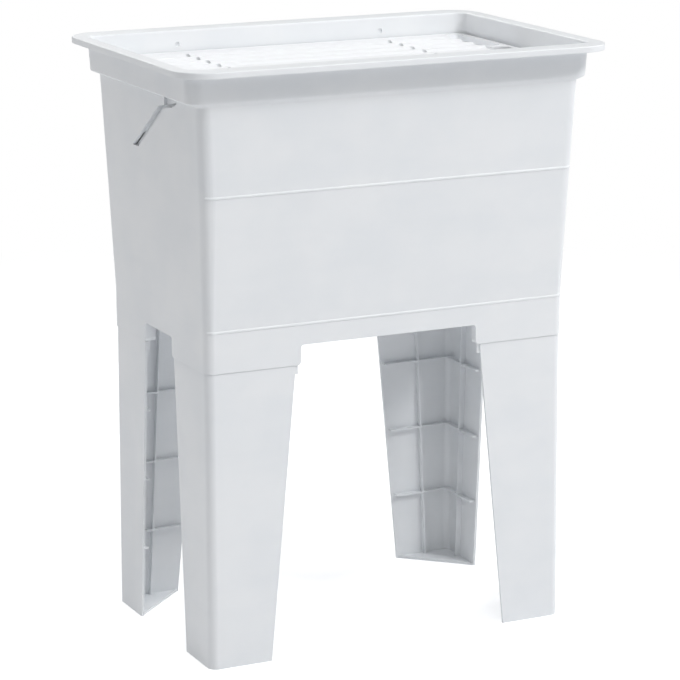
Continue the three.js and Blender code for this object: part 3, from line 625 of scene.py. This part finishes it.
def bake(target: bpy.types.Object) -> None:
    """Applies the modifiers of an object to its mesh."""
    seen = target.evaluated_get(bpy.context.evaluated_depsgraph_get())
    old, fresh = target.data, bpy.data.meshes.new_from_object(seen)
    target.modifiers.clear()
    target.data = fresh
    bpy.data.meshes.remove(old)


def shade(target: bpy.types.Object, finish: bpy.types.Material) -> None:
    """Gives a solid its finish and smooth shading, with flat walls kept flat.

    Args:
        target: The solid.
        finish: Its material.
    """
    mesh = target.data
    bm = bmesh.new()
    bm.from_mesh(mesh)
    bmesh.ops.remove_doubles(bm, verts=bm.verts, dist=2 * MERGE * MM)
    for face in bm.faces:
        face.smooth = True
        face.material_index = 0
    for edge in bm.edges:
        if edge.is_manifold and edge.calc_face_angle(0.0) > math.radians(CRISP_ANGLE):
            edge.smooth = False
    bm.to_mesh(mesh)
    bm.free()
    mesh.materials.clear()
    mesh.materials.append(finish)
    weighted = target.modifiers.new("flat_walls", "WEIGHTED_NORMAL")
    weighted.mode = "FACE_AREA"
    weighted.weight = 50
    weighted.keep_sharp = True


def hand_over(target: bpy.types.Object, node: str) -> bpy.types.Object:
    """Lets a finished solid stand for its CAD node, on the body of that node.

    Args:
        target: The finished solid.
        node: The name of the CAD node.

    Returns:
        The solid.
    """
    bodies = [body for body, names in frame["record"]["behaviour"]["bodies"].items() if node in names]
    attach(target, bodies[0])
    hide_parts(node)
    LOG.info("%s stands for %s: %d faces", target.name, node, len(target.data.polygons))
    return target


# ------------------------------------------------------------------------------------ tub
@dataclass
class Tub:
    """The tub: rim, collar with an inner ledge, drafted body, dished floor, skirt and leg sockets.

    Attributes:
        finish: Its material.
    """

    # How far a tool that passes right through the tub reaches from its middle.
    BEYOND = {Axis.X: 350.0, Axis.Y: 250.0}

    # The roundings of the shell's edges, in the order in which they are made.
    ROUNDING = {
        "foot": 0.8, "skirt_inner": 0.8, "step_in": 1.0, "step_out": 1.5, "lip_foot": 0.8,
        "lip_in_foot": 0.8, "lip_in": 1.5, "under_rim": 2.0, "rim": 2.0, "mouth": 3.0, "ledge_wall": 3.0,
        "ledge_nose": 1.5, "sump": 2.5, "sump_floor": 3.0, "waste": 0.6, "waste_under": 0.6, "boss": 1.5,
        "boss_root": 3.0, "skirt_root": 3.0,
    }

    # The outlines of a side groove's strip and of the pocket between it and the collar: each corner's Y,
    # its height over the ledge, and which way it moves along Y and Z when the outline grows.
    STRIP = (
        (-104.0, -5.0, -1, -1), (-88.0, -11.0, -1, -1), (-61.0, -15.0, -1, -1), (38.5, -81.0, -1, -1),
        (57.5, -81.0, 1, -1), (-42.5, -15.0, 1, 0), (-62.0, -11.0, 1, 1), (-88.0, -6.0, 0, 1),
        (-104.0, 0.0, -1, 0),
    )
    POCKET = ((-104.0, 0.0, -1, 1), (-104.0, -4.0, -1, -1), (-62.0, -13.0, 1, -1), (-62.0, 0.0, 1, 1))

    finish: bpy.types.Material
    wall: float = 4.0
    foot: float = 400.0
    skirt_top: float = 455.0
    middle: float = 633.0
    ledge: float = 750.0
    top: float = 800.0
    lip: float = 8.5
    lip_wall: float = 3.5
    rim: Plan = Plan(620.0, 430.0, 45.0)
    collar: Plan = Plan(583.0, 368.0, 22.0)
    collar_taper: float = 2.0
    body_top: Plan = Plan(551.0, 358.0, 17.0)
    body_middle: Plan = Plan(540.0, 350.0, 17.0)
    skirt: Plan = Plan(527.0, 325.0, 13.0)
    floor_fillet: float = 12.0
    floor_fillet_steps: int = 8
    floor_corner: float = 18.0
    floor_fall: float = 5.0
    sump_radius: float = 46.0
    sump_depth: float = 6.0
    sump_draft: float = 2.0
    waste_radius: float = 31.0
    shoulder: float = 5.0
    shoulder_lift: float = 2.5
    mouth_radius: float = 15.0
    mouth_flare: float = 1.5
    bead_radius: float = 2.6
    bead_proud: float = 1.1
    bead_steps: int = 8
    bead_wrap: float = 0.3
    bead_sink: float = 3.0
    arch_rise: float = 27.0
    front_arch: float = 258.0
    side_arch: float = 93.0
    arch_foot: float = 6.0
    arch_crown: float = 4.0
    arch_clear: float = 0.05
    arch_drop: float = 5.0
    socket_wall: float = 3.0
    socket_depth: float = 8.5
    side_return: float = 15.0
    socket_drop: float = 38.0
    groove_depth: float = 9.0
    pocket_depth: float = 4.5
    rail_wall: float = 2.4
    groove_reach: float = 20.0
    hole_radius: float = 3.4
    hole_spacing: float = 311.0
    hole_below_rim: float = 19.5
    hole_depth: float = 3.2
    hole_start: float = 100.0
    floor_steps: int = 5

    def _shell(self) -> bpy.types.Object:
        """The shell, one closed chain of rings from the skirt up, over the rim and down to the waste."""
        m = Mould()
        w = self.wall
        plate, lip_foot = self.top - w, self.top - self.lip
        lip_in = self.rim.inset(self.lip_wall)
        collar_foot = self.collar.inset(self.collar_taper, self.collar.radius)
        ledge_top = self.ledge + self.shoulder + self.shoulder_lift
        plans = {
            "foot": (self.skirt, self.foot),
            "waist": (self.skirt, self.skirt_top),
            "middle": (self.body_middle, self.middle),
            "step_in": (self.body_top, self.ledge),
            "step_out": (collar_foot, self.ledge + self.shoulder),
            "under_rim": (self.collar, plate),
            "lip_in": (lip_in, plate),
            "lip_in_foot": (lip_in, lip_foot),
            "lip_foot": (self.rim, lip_foot),
            "rim": (self.rim, self.top),
            "mouth": (self.collar.inset(w - self.mouth_flare, self.mouth_radius), self.top),
            "ledge_wall": (collar_foot.inset(w, self.mouth_radius), ledge_top),
            "ledge_nose": (self.body_top.inset(w), self.ledge + self.shoulder_lift),
            "inner_middle": (self.body_middle.inset(w), self.middle),
            "floor": (self.skirt.inset(w, self.floor_corner), self.skirt_top + w),
        }
        rings = {name: m.ring(plan, z, self.floor_steps) for name, (plan, z) in plans.items()}
        floor = self.skirt_top + w - self.floor_fall
        sump = floor - self.sump_depth
        circles = {
            "sump": (self.sump_radius, floor),
            "sump_floor": (self.sump_radius - self.sump_draft, sump),
            "waste": (self.waste_radius, sump),
            "waste_under": (self.waste_radius, sump - w),
            "boss": (self.sump_radius + w, sump - w),
            "boss_root": (self.sump_radius + w, floor - w),
        }
        count = len(rings["floor"])
        for name, (radius, z) in circles.items():
            rings[name] = m.circle(radius, z, count)
        for name, z in (("skirt_root", self.skirt_top), ("skirt_inner", self.foot)):
            rings[name] = m.ring(self.skirt.inset(w), z, self.floor_steps)
        m.wall([*rings.values(), rings["foot"]])
        m.crease([*rings["middle"], *rings["waist"]])
        for name, radius in self.ROUNDING.items():
            m.soften(rings[name], radius)
        m.soften(rings["floor"], self.floor_fillet, self.floor_fillet_steps)
        return m.piece("tub")

    def _beads(self) -> bpy.types.Object:
        """Raised beads across the front and back walls, run on round most of their corners."""
        m, ends = Mould(), Mould()
        for level, plan in ((self.middle, self.body_middle), (self.skirt_top, self.skirt)):
            loops = []
            for i in range(self.bead_steps + 1):
                turn = math.pi * (i / self.bead_steps - 0.5)
                out = self.bead_proud - self.bead_radius * (1 - math.cos(turn))
                loops.append(m.ring(plan.inset(-out), level + self.bead_radius * math.sin(turn)))
            for edge in (level + self.bead_radius, level - self.bead_radius):
                loops.append(m.ring(plan.inset(self.bead_sink), edge))
            m.wall([*loops, loops[0]])
            near, half = plan.depth / 2 - self.bead_wrap * plan.radius, 2 * self.bead_radius
            for face in Face:
                low = (-plan.width, face.value * near, level - half)
                ends.box(low, (plan.width, face.value * self.BEYOND[Axis.Y], level + half))
        beads = m.piece("beads")
        combine(beads, ends.piece("bead_ends"), Join.KEEP)
        return beads

    def _sockets(self) -> bpy.types.Object:
        """The walls of the four leg sockets."""
        m = Mould()
        for side in Side:
            for face in Face:
                self._socket(m, side.value, face.value)
        return m.piece("sockets")

    def _socket(self, m: Mould, sx: int, sy: int) -> None:
        """The walls behind one skirt corner that a leg is pushed between."""
        top = self.skirt_top + self.wall / 2
        out_x, out_y = self.skirt.width / 2, self.skirt.depth / 2
        end_x, end_y = self.front_arch / 2, self.side_arch / 2
        in_x, in_y = out_x - self.socket_depth, out_y - self.socket_depth
        t, lap, low = self.socket_wall, self.wall / 2, top - self.socket_drop
        for start, end, foot in (
            ((end_x, out_y - lap), (end_x + t, in_y - t), self.foot),
            ((out_x - lap, end_y), (out_x - self.side_return, end_y + t), self.foot),
            ((end_x, in_y), (in_x, in_y - t), low),
            ((in_x, end_y), (in_x - t, in_y), low),
        ):
            m.box((sx * start[0], sy * start[1], foot), (sx * end[0], sy * end[1], top))

    def _cuts(self) -> bpy.types.Object:
        """What is cut out of the shell: arches between the legs and two blind holes for wall fixings."""
        m = Mould()
        crown, flat = self.foot + self.arch_rise, self.foot - self.arch_clear
        for width, axis in ((self.front_arch, Axis.Y), (self.side_arch, Axis.X)):
            half, far, low = width / 2, width / 2 + 3 * self.arch_foot, flat - self.arch_drop
            outline = [
                (-far, low), (far, low), (far, flat), (half, flat), (half, crown), (-half, crown),
                (-half, flat), (-far, flat),
            ]
            rounds = {3: self.arch_foot, 6: self.arch_foot, 4: self.arch_crown, 5: self.arch_crown}
            m.prism(outline, axis, -self.BEYOND[axis], self.BEYOND[axis], rounds)
        hole = 2 * self.hole_radius
        hole_end = self.collar.depth / 2 - self.collar_taper / 2 - self.wall + self.hole_depth
        for side in Side:
            centre = (side.value * self.hole_spacing / 2, self.top - self.hole_below_rim)
            m.slot(centre, (hole, hole), Axis.Y, self.hole_start, hole_end)
        return m.piece("cuts")

    def _grooves(self, name: str, grow: float, depths: Point) -> bpy.types.Object:
        """The strip and pocket outlines, grown by some amount, run outwards from their depths.

        Args:
            name: The name of the solid.
            grow: How much wider than the groove they are on each side.
            depths: The depth of the strip and of the pocket below the tub's side.

        Returns:
            One solid with both sides' outlines.
        """
        m = Mould()
        far = self.collar.width / 2
        for corners, depth in zip((self.STRIP, self.POCKET), depths):
            outline = [(y + out_y * grow, self.ledge + z + out_z * grow) for y, z, out_y, out_z in corners]
            face = self.body_top.width / 2 - depth
            for low, high in ((face, far), (-far, -face)):
                m.prism(outline, Axis.X, low, high)
        return m.piece(name)

    def _wall_core(self, name: str, shrink: float, top: float) -> bpy.types.Object:
        """The upper body as a plain solid, drawn in by some amount and ended at a level."""
        m = Mould()
        levels = ((self.body_middle, self.middle), (self.body_top, top))
        m.solid([m.ring(plan.inset(shrink), z) for plan, z in levels])
        return m.piece(name)

    def build(self) -> bpy.types.Object:
        """Builds the tub and dresses it.

        Returns:
            The finished tub.
        """
        tub = self._shell()
        combine(tub, self._beads(), Join.ADD)
        combine(tub, self._sockets(), Join.ADD)
        rail_depth = self.groove_depth + self.wall
        rails = self._grooves("rails", self.rail_wall, (rail_depth, rail_depth))
        combine(rails, self._wall_core("core", self.wall / 2, self.ledge + self.wall / 2), Join.KEEP)
        combine(tub, rails, Join.ADD)
        grooves = self._grooves("grooves", 0.0, (self.groove_depth, self.pocket_depth))
        combine(grooves, self._wall_core("limit", -self.groove_reach, self.ledge), Join.KEEP)
        combine(tub, grooves, Join.CUT)
        combine(tub, self._cuts(), Join.CUT)
        tub.name = "tub_moulding"
        shade(tub, self.finish)
        return hand_over(tub, "tub")


# ------------------------------------------------------------------------------------ washboard
@dataclass
class Washboard:
    """The ribbed washboard that lies in the tub as its cover.

    Attributes:
        finish: Its material.
    """

    finish: bpy.types.Material
    low: float = 756.4
    thickness: float = 14.4
    plan: Plan = Plan(563.0, 353.0, 14.0)
    end_lip: float = 8.0
    pitch: float = 35.5
    ribs: int = 9
    wave: float = 3.0
    wave_steps: int = 10
    steep: float = 8.0
    gentle: float = 26.5
    trough_width: float = 23.0
    trough_depth: float = 8.0
    trough_round: float = 7.0
    slot_width: float = 34.0
    slot_length: float = 52.0
    slot_land: float = 10.0
    drain: Point = (6.0, 8.5)
    drain_spacing: float = 308.0
    web: float = 2.5
    skin: float = 3.0
    bays: int = 7

    @property
    def top(self) -> float:
        """The level of the crests."""
        return self.low + self.thickness

    def _wave(self, valley: float) -> list[Point]:
        """What is cut away for one rib, in Y and Z: a gentle slope to the front and a steep one behind."""
        parts = [i / self.wave_steps for i in range(self.wave_steps + 1)]
        curve = [(part, self.wave * (1 - math.cos(math.pi * part)) / 2) for part in parts]
        low, over = self.top - self.wave, self.top + 2 * PROUD
        return [
            *((valley - self.gentle * (1 - part), self.top - fall) for part, fall in curve),
            *((valley + self.steep * part, low + rise) for part, rise in curve[1:]),
            (valley + self.steep, over), (valley - self.gentle, over),
        ]

    def build(self) -> bpy.types.Object:
        """Builds the washboard and dresses it.

        Returns:
            The finished washboard.
        """
        m = Mould()
        m.solid([m.ring(self.plan, self.low), m.ring(self.plan, self.top)])
        board = m.piece("washboard")

        field_end = self.plan.width / 2 - self.end_lip
        inner = field_end - self.trough_width
        waves, slots, sinks, bays = Mould(), Mould(), Mould(), Mould()
        first = -self.pitch * (self.ribs - 1) / 2
        for i in range(self.ribs):
            valley = first + i * self.pitch
            waves.prism(self._wave(valley), Axis.X, -inner, inner)
            for side in Side:
                centre = (side.value * self.drain_spacing / 2, valley + self.steep / 2)
                slots.slot(centre, self.drain, Axis.Z, self.low - PROUD, self.top + PROUD)
        land = self.slot_length / 2 + self.slot_land
        length = self.plan.depth / 2 - self.end_lip - self.slot_land / 2 - land
        for side in Side:
            x = side.value * (inner + field_end) / 2
            for face in Face:
                corners = oblong((x, face.value * (land + length / 2)), (self.trough_width, length))
                sinks.prism(
                    corners, Axis.Z, self.top - self.trough_depth, self.top + 2 * PROUD,
                    dict.fromkeys(range(4), self.trough_round),
                )
            centre = (side.value * (field_end - self.slot_width / 2), 0.0)
            size = (self.slot_width, self.slot_length)
            slots.slot(centre, size, Axis.Z, self.low - PROUD, self.top + PROUD)
        self._bays(bays, min(inner, field_end - self.slot_width) - self.web)
        for name, cutter in (("waves", waves), ("sinks", sinks), ("bays", bays), ("slots", slots)):
            combine(board, cutter.piece(name), Join.CUT)
        board.name = "washboard_moulding"
        shade(board, self.finish)
        return hand_over(board, "washboard")

    def _bays(self, m: Mould, half: float) -> None:
        """The bays under the ribs, between the stiffening webs."""
        ceiling = self.top - self.wave - self.skin
        length = (2 * half + self.web) / self.bays - self.web
        row = self.pitch * 1.5
        edge, half_web = self.plan.depth / 2 - self.web, self.web / 2
        rows = [(-edge, -row - half_web), (-row + half_web, row - half_web), (row + half_web, edge)]
        for bay in range(self.bays):
            start = -half + bay * (length + self.web)
            for near, far in rows:
                m.box((start, near, self.low - PROUD), (start + length, far, ceiling))


# ------------------------------------------------------------------------------------ legs
@dataclass(frozen=True)
class Angle:
    """An L-shaped section.

    Attributes:
        corner: Its outer corner, as distances from the middle of the sink.
        flanges: The lengths of its two flanges.
        wall: Their thickness.
        outer: The radius of the outer corner.
        inner: The radius of the inner corner.
    """

    corner: Point
    flanges: Point
    wall: float
    outer: float
    inner: float


@dataclass
class Leg:
    """One angle leg with level and upright ribs, a triangular foot plate and a tenon on top.

    Attributes:
        finish: Its material.
        side: Left or right.
        face: Front or back.
    """

    finish: bpy.types.Material
    side: Side
    face: Face
    top: float = 399.7
    height: float = 400.0
    corner: Point = (262.2, 161.2)
    splay: Point = (0.8, 3.3)
    wall: float = 3.5
    outer_round: float = 12.0
    inner_round: float = 9.0
    top_flanges: Point = (126.0, 111.0)
    foot_flanges: Point = (88.0, 84.0)
    rib_depth: float = 8.0
    rib_wall: float = 2.5
    rib_gap: float = 5.0
    shelves: int = 3
    foot_plate: float = 3.5
    tenon_root: float = 12.0
    tenon_height: float = 34.0
    tenon_corner: Point = (259.0, 158.0)
    tenon_ends: Point = (132.5, 50.0)
    tenon_wall: float = 3.5
    tenon_rounds: Point = (9.0, 0.5)

    def _level(self, z: float) -> tuple[float, float, float, float]:
        """The outer corner (x, y) and the two flange widths at a height."""
        part = z / self.height
        x = self.corner[0] + self.splay[0] * (1 - part)
        y = self.corner[1] + self.splay[1] * (1 - part)
        wide = self.foot_flanges[0] + (self.top_flanges[0] - self.foot_flanges[0]) * part
        deep = self.foot_flanges[1] + (self.top_flanges[1] - self.foot_flanges[1]) * part
        return x, y, wide, deep

    def _angle(self, m: Mould, z: float, section: Angle) -> Loop:
        """An L-shaped ring of edges at one height.

        Args:
            m: The mesh.
            z: The height.
            section: The shape of the ring.

        Returns:
            The edges.
        """
        known = set(m.bm.faces)
        wall, (wide, deep), (x, y) = section.wall, section.flanges, section.corner
        outline = [(0.0, 0.0), (wide, 0.0), (wide, wall), (wall, wall), (wall, deep), (0.0, deep)]
        verts = [
            m.bm.verts.new((self.side.value * (x - u), self.face.value * (y - v), z)) for u, v in outline
        ]
        m.bm.faces.new(verts)
        m.round_corners([verts[0]], section.outer, m.CORNER_STEPS)
        m.round_corners([verts[3]], section.inner, m.CORNER_STEPS)
        face = [f for f in m.bm.faces if f not in known][0]
        edges = list(face.edges)
        bmesh.ops.delete(m.bm, geom=[face], context="FACES_ONLY")
        return edges

    def _column(self, name: str, sections: Sequence[tuple[float, Angle]]) -> bpy.types.Object:
        """A closed angle through two or more sections, each given with its height."""
        m = Mould()
        m.solid([self._angle(m, z, section) for z, section in sections])
        return m.piece(name)

    def _section(self, z: float) -> Angle:
        """The leg's own section at a height."""
        x, y, wide, deep = self._level(z)
        return Angle((x, y), (wide, deep), self.wall, self.outer_round, self.inner_round)

    def _shelf(self, z: float) -> bpy.types.Object:
        """A level rib that runs round the inside of the angle."""
        x, y, wide, deep = self._level(z)
        sunk = self.wall / 2
        section = Angle(
            (x - sunk, y - sunk), (wide - self.rib_gap - sunk, deep - self.rib_gap - sunk),
            sunk + self.rib_depth, self.outer_round - sunk, self.inner_round / 2,
        )
        return self._column("shelf", [(z - self.rib_wall, section), (z, section)])

    def _tenon(
        self, corner: Point, wall: float, rounds: Point, low: float, high: float,
    ) -> bpy.types.Object:
        """A length of the tenon on top, or of the root that ties it to the leg.

        Args:
            corner: Its outer corner.
            wall: Its thickness.
            rounds: The radii of its outer and inner corner.
            low: Where it starts.
            high: Where it ends.

        Returns:
            The solid.
        """
        flanges = (corner[0] - self.tenon_ends[0], corner[1] - self.tenon_ends[1])
        section = Angle(corner, flanges, wall, *rounds)
        return self._column("tenon", [(low, section), (high, section)])

    def _upright(self, along_x: bool) -> bpy.types.Object:
        """An upright rib down the middle of a flange."""
        m = Mould()
        loops = []
        for z in (self.foot_plate / 2, self.top - self.tenon_root / 2):
            x, y, wide, deep = self._level(z)
            middle = (wide if along_x else deep) / 2
            half = self.rib_wall / 2
            near, far = self.wall / 2, self.wall + self.rib_depth
            low, high = middle - half, middle + half
            corners = [(low, near), (high, near), (high, far), (low, far)]
            if not along_x:
                corners = [(v, u) for u, v in corners]
            verts = [
                m.bm.verts.new((self.side.value * (x - u), self.face.value * (y - v), z)) for u, v in corners
            ]
            loops.append([m.bm.edges.new((a, b)) for a, b in zip(verts, [*verts[1:], verts[0]])])
        m.solid(loops)
        return m.piece("upright")

    def _plate(self) -> bpy.types.Object:
        """The triangular foot plate between the flange ends."""
        m = Mould()
        x, y, wide, deep = self._level(0.0)
        near = self.wall / 2
        outline = [(wide, near), (near, deep), (near, near)]
        corners = [(self.side.value * (x - u), self.face.value * (y - v)) for u, v in outline]
        m.prism(corners, Axis.Z, 0.0, self.foot_plate, {2: self.outer_round - near})
        return m.piece("plate")

    def build(self) -> bpy.types.Object:
        """Builds the leg and dresses it.

        Returns:
            The finished leg.
        """
        leg = self._column("leg", [(z, self._section(z)) for z in (0.0, self.top)])
        additions = [self._plate(), self._upright(True), self._upright(False)]
        for shelf in range(1, self.shelves + 1):
            additions.append(self._shelf(self.height * shelf / (self.shelves + 1)))
        sunk, root_low = self.wall / 2, self.top - self.tenon_root
        root = (self.corner[0] - sunk, self.corner[1] - sunk)
        root_wall = root[0] - self.tenon_corner[0] + self.tenon_wall
        root_rounds = (self.outer_round - sunk, self.inner_round)
        tenon_low, tenon_top = self.top - self.tenon_root / 2, self.top + self.tenon_height
        additions.append(self._tenon(root, root_wall, root_rounds, root_low, self.top))
        additions.append(
            self._tenon(self.tenon_corner, self.tenon_wall, self.tenon_rounds, tenon_low, tenon_top)
        )
        for addition in additions:
            combine(leg, addition, Join.ADD)
        node = f"leg_{self.face.name.lower()}_{self.side.name.lower()}"
        leg.name = f"{node}_moulding"
        shade(leg, self.finish)
        return hand_over(leg, node)


# ------------------------------------------------------------------------------------ waste
def dress(node: str, finish: bpy.types.Material) -> bpy.types.Object:
    """Gives a CAD node its finish and hands the node over."""
    piece = frame["nodes"][node]
    piece.data.materials.clear()
    piece.data.materials.append(finish)
    LOG.info("%s keeps its CAD mesh: %d faces", node, len(piece.data.polygons))
    return piece


@dataclass
class Waste:
    """The strainer, its screw, the gaskets and the waste body under the floor.

    Attributes:
        steel: The finish of the strainer and the screw.
        rubber: The finish of the gaskets.
        plastic: The finish of the waste body.
    """

    steel: bpy.types.Material
    rubber: bpy.types.Material
    plastic: bpy.types.Material

    def build(self) -> list[bpy.types.Object]:
        """Dresses the waste.

        Returns:
            The pieces.
        """
        finishes = {
            "waste_strainer": self.steel, "strainer_screw": self.steel, "upper_gasket": self.rubber,
            "lower_gasket": self.rubber, "waste_body": self.plastic,
        }
        return [dress(node, finish) for node, finish in finishes.items()]


@dataclass
class Plug:
    """The rubber plug.

    Attributes:
        rubber: Its finish.
    """

    rubber: bpy.types.Material

    def build(self) -> bpy.types.Object:
        """Dresses the plug."""
        return dress("plug", self.rubber)


# ------------------------------------------------------------------------------------ studio
@dataclass(frozen=True)
class SoftBox:
    """A soft lamp.

    Attributes:
        name: The lamp's name.
        azimuth: Where it stands round the sink, in degrees, as the camera's azimuth is counted.
        elevation: Its height in degrees.
        strength: The light it gives, in watts.
        size: The width of its square face in metres.
        distance: How far it stands from the sink in metres.
    """

    name: str
    azimuth: float
    elevation: float
    strength: float
    size: float = 3.0
    distance: float = 6.0

    def build(self, centre: Vector) -> bpy.types.Object:
        """Places the lamp so that it faces a point."""
        lamp = bpy.data.lights.new(self.name, "AREA")
        lamp.shape = "SQUARE"
        lamp.size = self.size
        lamp.energy = self.strength
        made = bpy.data.objects.new(self.name, lamp)
        away = direction(self.azimuth, self.elevation)
        made.location = centre + away * self.distance
        made.rotation_euler = (-away).to_track_quat("-Z", "Y").to_euler()
        bpy.context.scene.collection.objects.link(made)
        return made


def direction(azimuth: float, elevation: float) -> Vector:
    """The direction from the sink towards a viewer at an azimuth and elevation in degrees."""
    a, e = math.radians(azimuth), math.radians(elevation)
    return Vector((math.sin(a) * math.cos(e), -math.cos(a) * math.cos(e), math.sin(e)))


@dataclass
class Studio:
    """A plain pale floor, a white backdrop, soft lamps and the camera.

    Attributes:
        floor: The finish of the floor.
    """

    floor: bpy.types.Material
    ambient: float = 0.0
    clip: Point = (0.1, 200.0)
    azimuth: float = -25.67
    elevation: float = 13.54
    roll: float = 0.12
    distance: float = 4.010
    target: tuple[float, float, float] = (0.0026, -0.0053, 0.3858)
    lens: float = 154.69
    sensor: float = 36.0
    floor_size: float = 60.0
    lamps: tuple[SoftBox, ...] = (
        SoftBox("key_lamp", 30.0, 46.0, 114.0, 1.0),
        SoftBox("second_key_lamp", 45.0, 46.0, 34.0, 1.0),
        SoftBox("front_left_lamp", -30.0, 38.0, 61.0),
        SoftBox("high_left_lamp", -30.0, 65.0, 74.0),
        SoftBox("low_right_lamp", 60.0, 12.0, 34.0),
        SoftBox("right_lamp", 90.0, 38.0, 116.0),
        SoftBox("back_lamp", 180.0, 38.0, 135.0),
        SoftBox("back_left_lamp", -135.0, 12.0, 54.0),
        SoftBox("high_back_left_lamp", -135.0, 38.0, 24.0),
    )

    def build(self) -> None:
        """Sets the studio up."""
        self._floor()
        self._backdrop()
        for lamp in self.lamps:
            lamp.build(Vector(self.target))
        self._camera()
        bpy.context.scene.view_settings.view_transform = "Standard"

    def _floor(self) -> None:
        """The floor, a wide plane at level 0."""
        bm = bmesh.new()
        bmesh.ops.create_grid(bm, x_segments=1, y_segments=1, size=self.floor_size / 2)
        mesh = bpy.data.meshes.new("floor")
        bm.to_mesh(mesh)
        bm.free()
        mesh.materials.append(self.floor)
        floor = bpy.data.objects.new("floor", mesh)
        bpy.context.scene.collection.objects.link(floor)

    def _backdrop(self) -> None:
        """The world: even light on the sink, plain white to the camera."""
        world = bpy.data.worlds.new("backdrop")
        bpy.context.scene.world = world
        n = Nodes(world)
        even = n.add("ShaderNodeBackground", {}, {"Color": WHITE, "Strength": self.ambient})
        white = n.add("ShaderNodeBackground", {}, {"Color": WHITE, "Strength": 1.0})
        ray = n.add("ShaderNodeLightPath", output="Is Camera Ray")
        shown = ray.larger(ray.beside("Is Transmission Ray"))
        mix = n.add("ShaderNodeMixShader", {}, {0: shown, 1: even, 2: white})
        n.add("ShaderNodeOutputWorld", {}, {"Surface": mix})

    def _camera(self) -> None:
        """The camera, at the photograph's viewing angle."""
        data = bpy.data.cameras.new("camera")
        data.lens = self.lens
        data.sensor_width = self.sensor
        data.clip_start, data.clip_end = self.clip
        camera = bpy.data.objects.new("camera", data)
        away = direction(self.azimuth, self.elevation)
        level = (-away).to_track_quat("-Z", "Y").to_matrix().to_4x4()
        rolled = level @ Matrix.Rotation(math.radians(-self.roll), 4, "Z")
        camera.matrix_world = Matrix.Translation(Vector(self.target) + away * self.distance) @ rolled
        bpy.context.scene.collection.objects.link(camera)
        bpy.context.scene.camera = camera


def main() -> None:
    """Builds the sink, piece by piece, and the studio round it."""
    logging.basicConfig(level=logging.INFO, format="%(name)s: %(message)s")
    plastic = MouldedPlastic("white_polypropylene").make()
    # The washboard's plastic is a lighter copy of the white polypropylene. Its white is real, but its extra
    # brightness is painted highlight that washes the lit, ribbed top out to near white.
    board_plastic_painted_highlight = MouldedPlastic(
        "washboard_polypropylene", base=colour(247, 249, 251), shade=colour(245, 246, 249), scuffs=0.5,
    ).make()
    steel = PressedSteel("stainless_steel").make()
    rubber = MouldedRubber("black_rubber").make()
    fitting = MouldedPlastic("fitting_polypropylene", base=colour(232, 233, 235), roughness=0.5).make()

    Tub(plastic).build()
    Washboard(board_plastic_painted_highlight).build()
    for side in Side:
        for face in Face:
            Leg(plastic, side, face).build()
    Waste(steel, rubber, fitting).build()
    Plug(rubber).build()
    Studio(StudioFloor("studio_floor").make()).build()


if __name__ == "__main__":
    main()
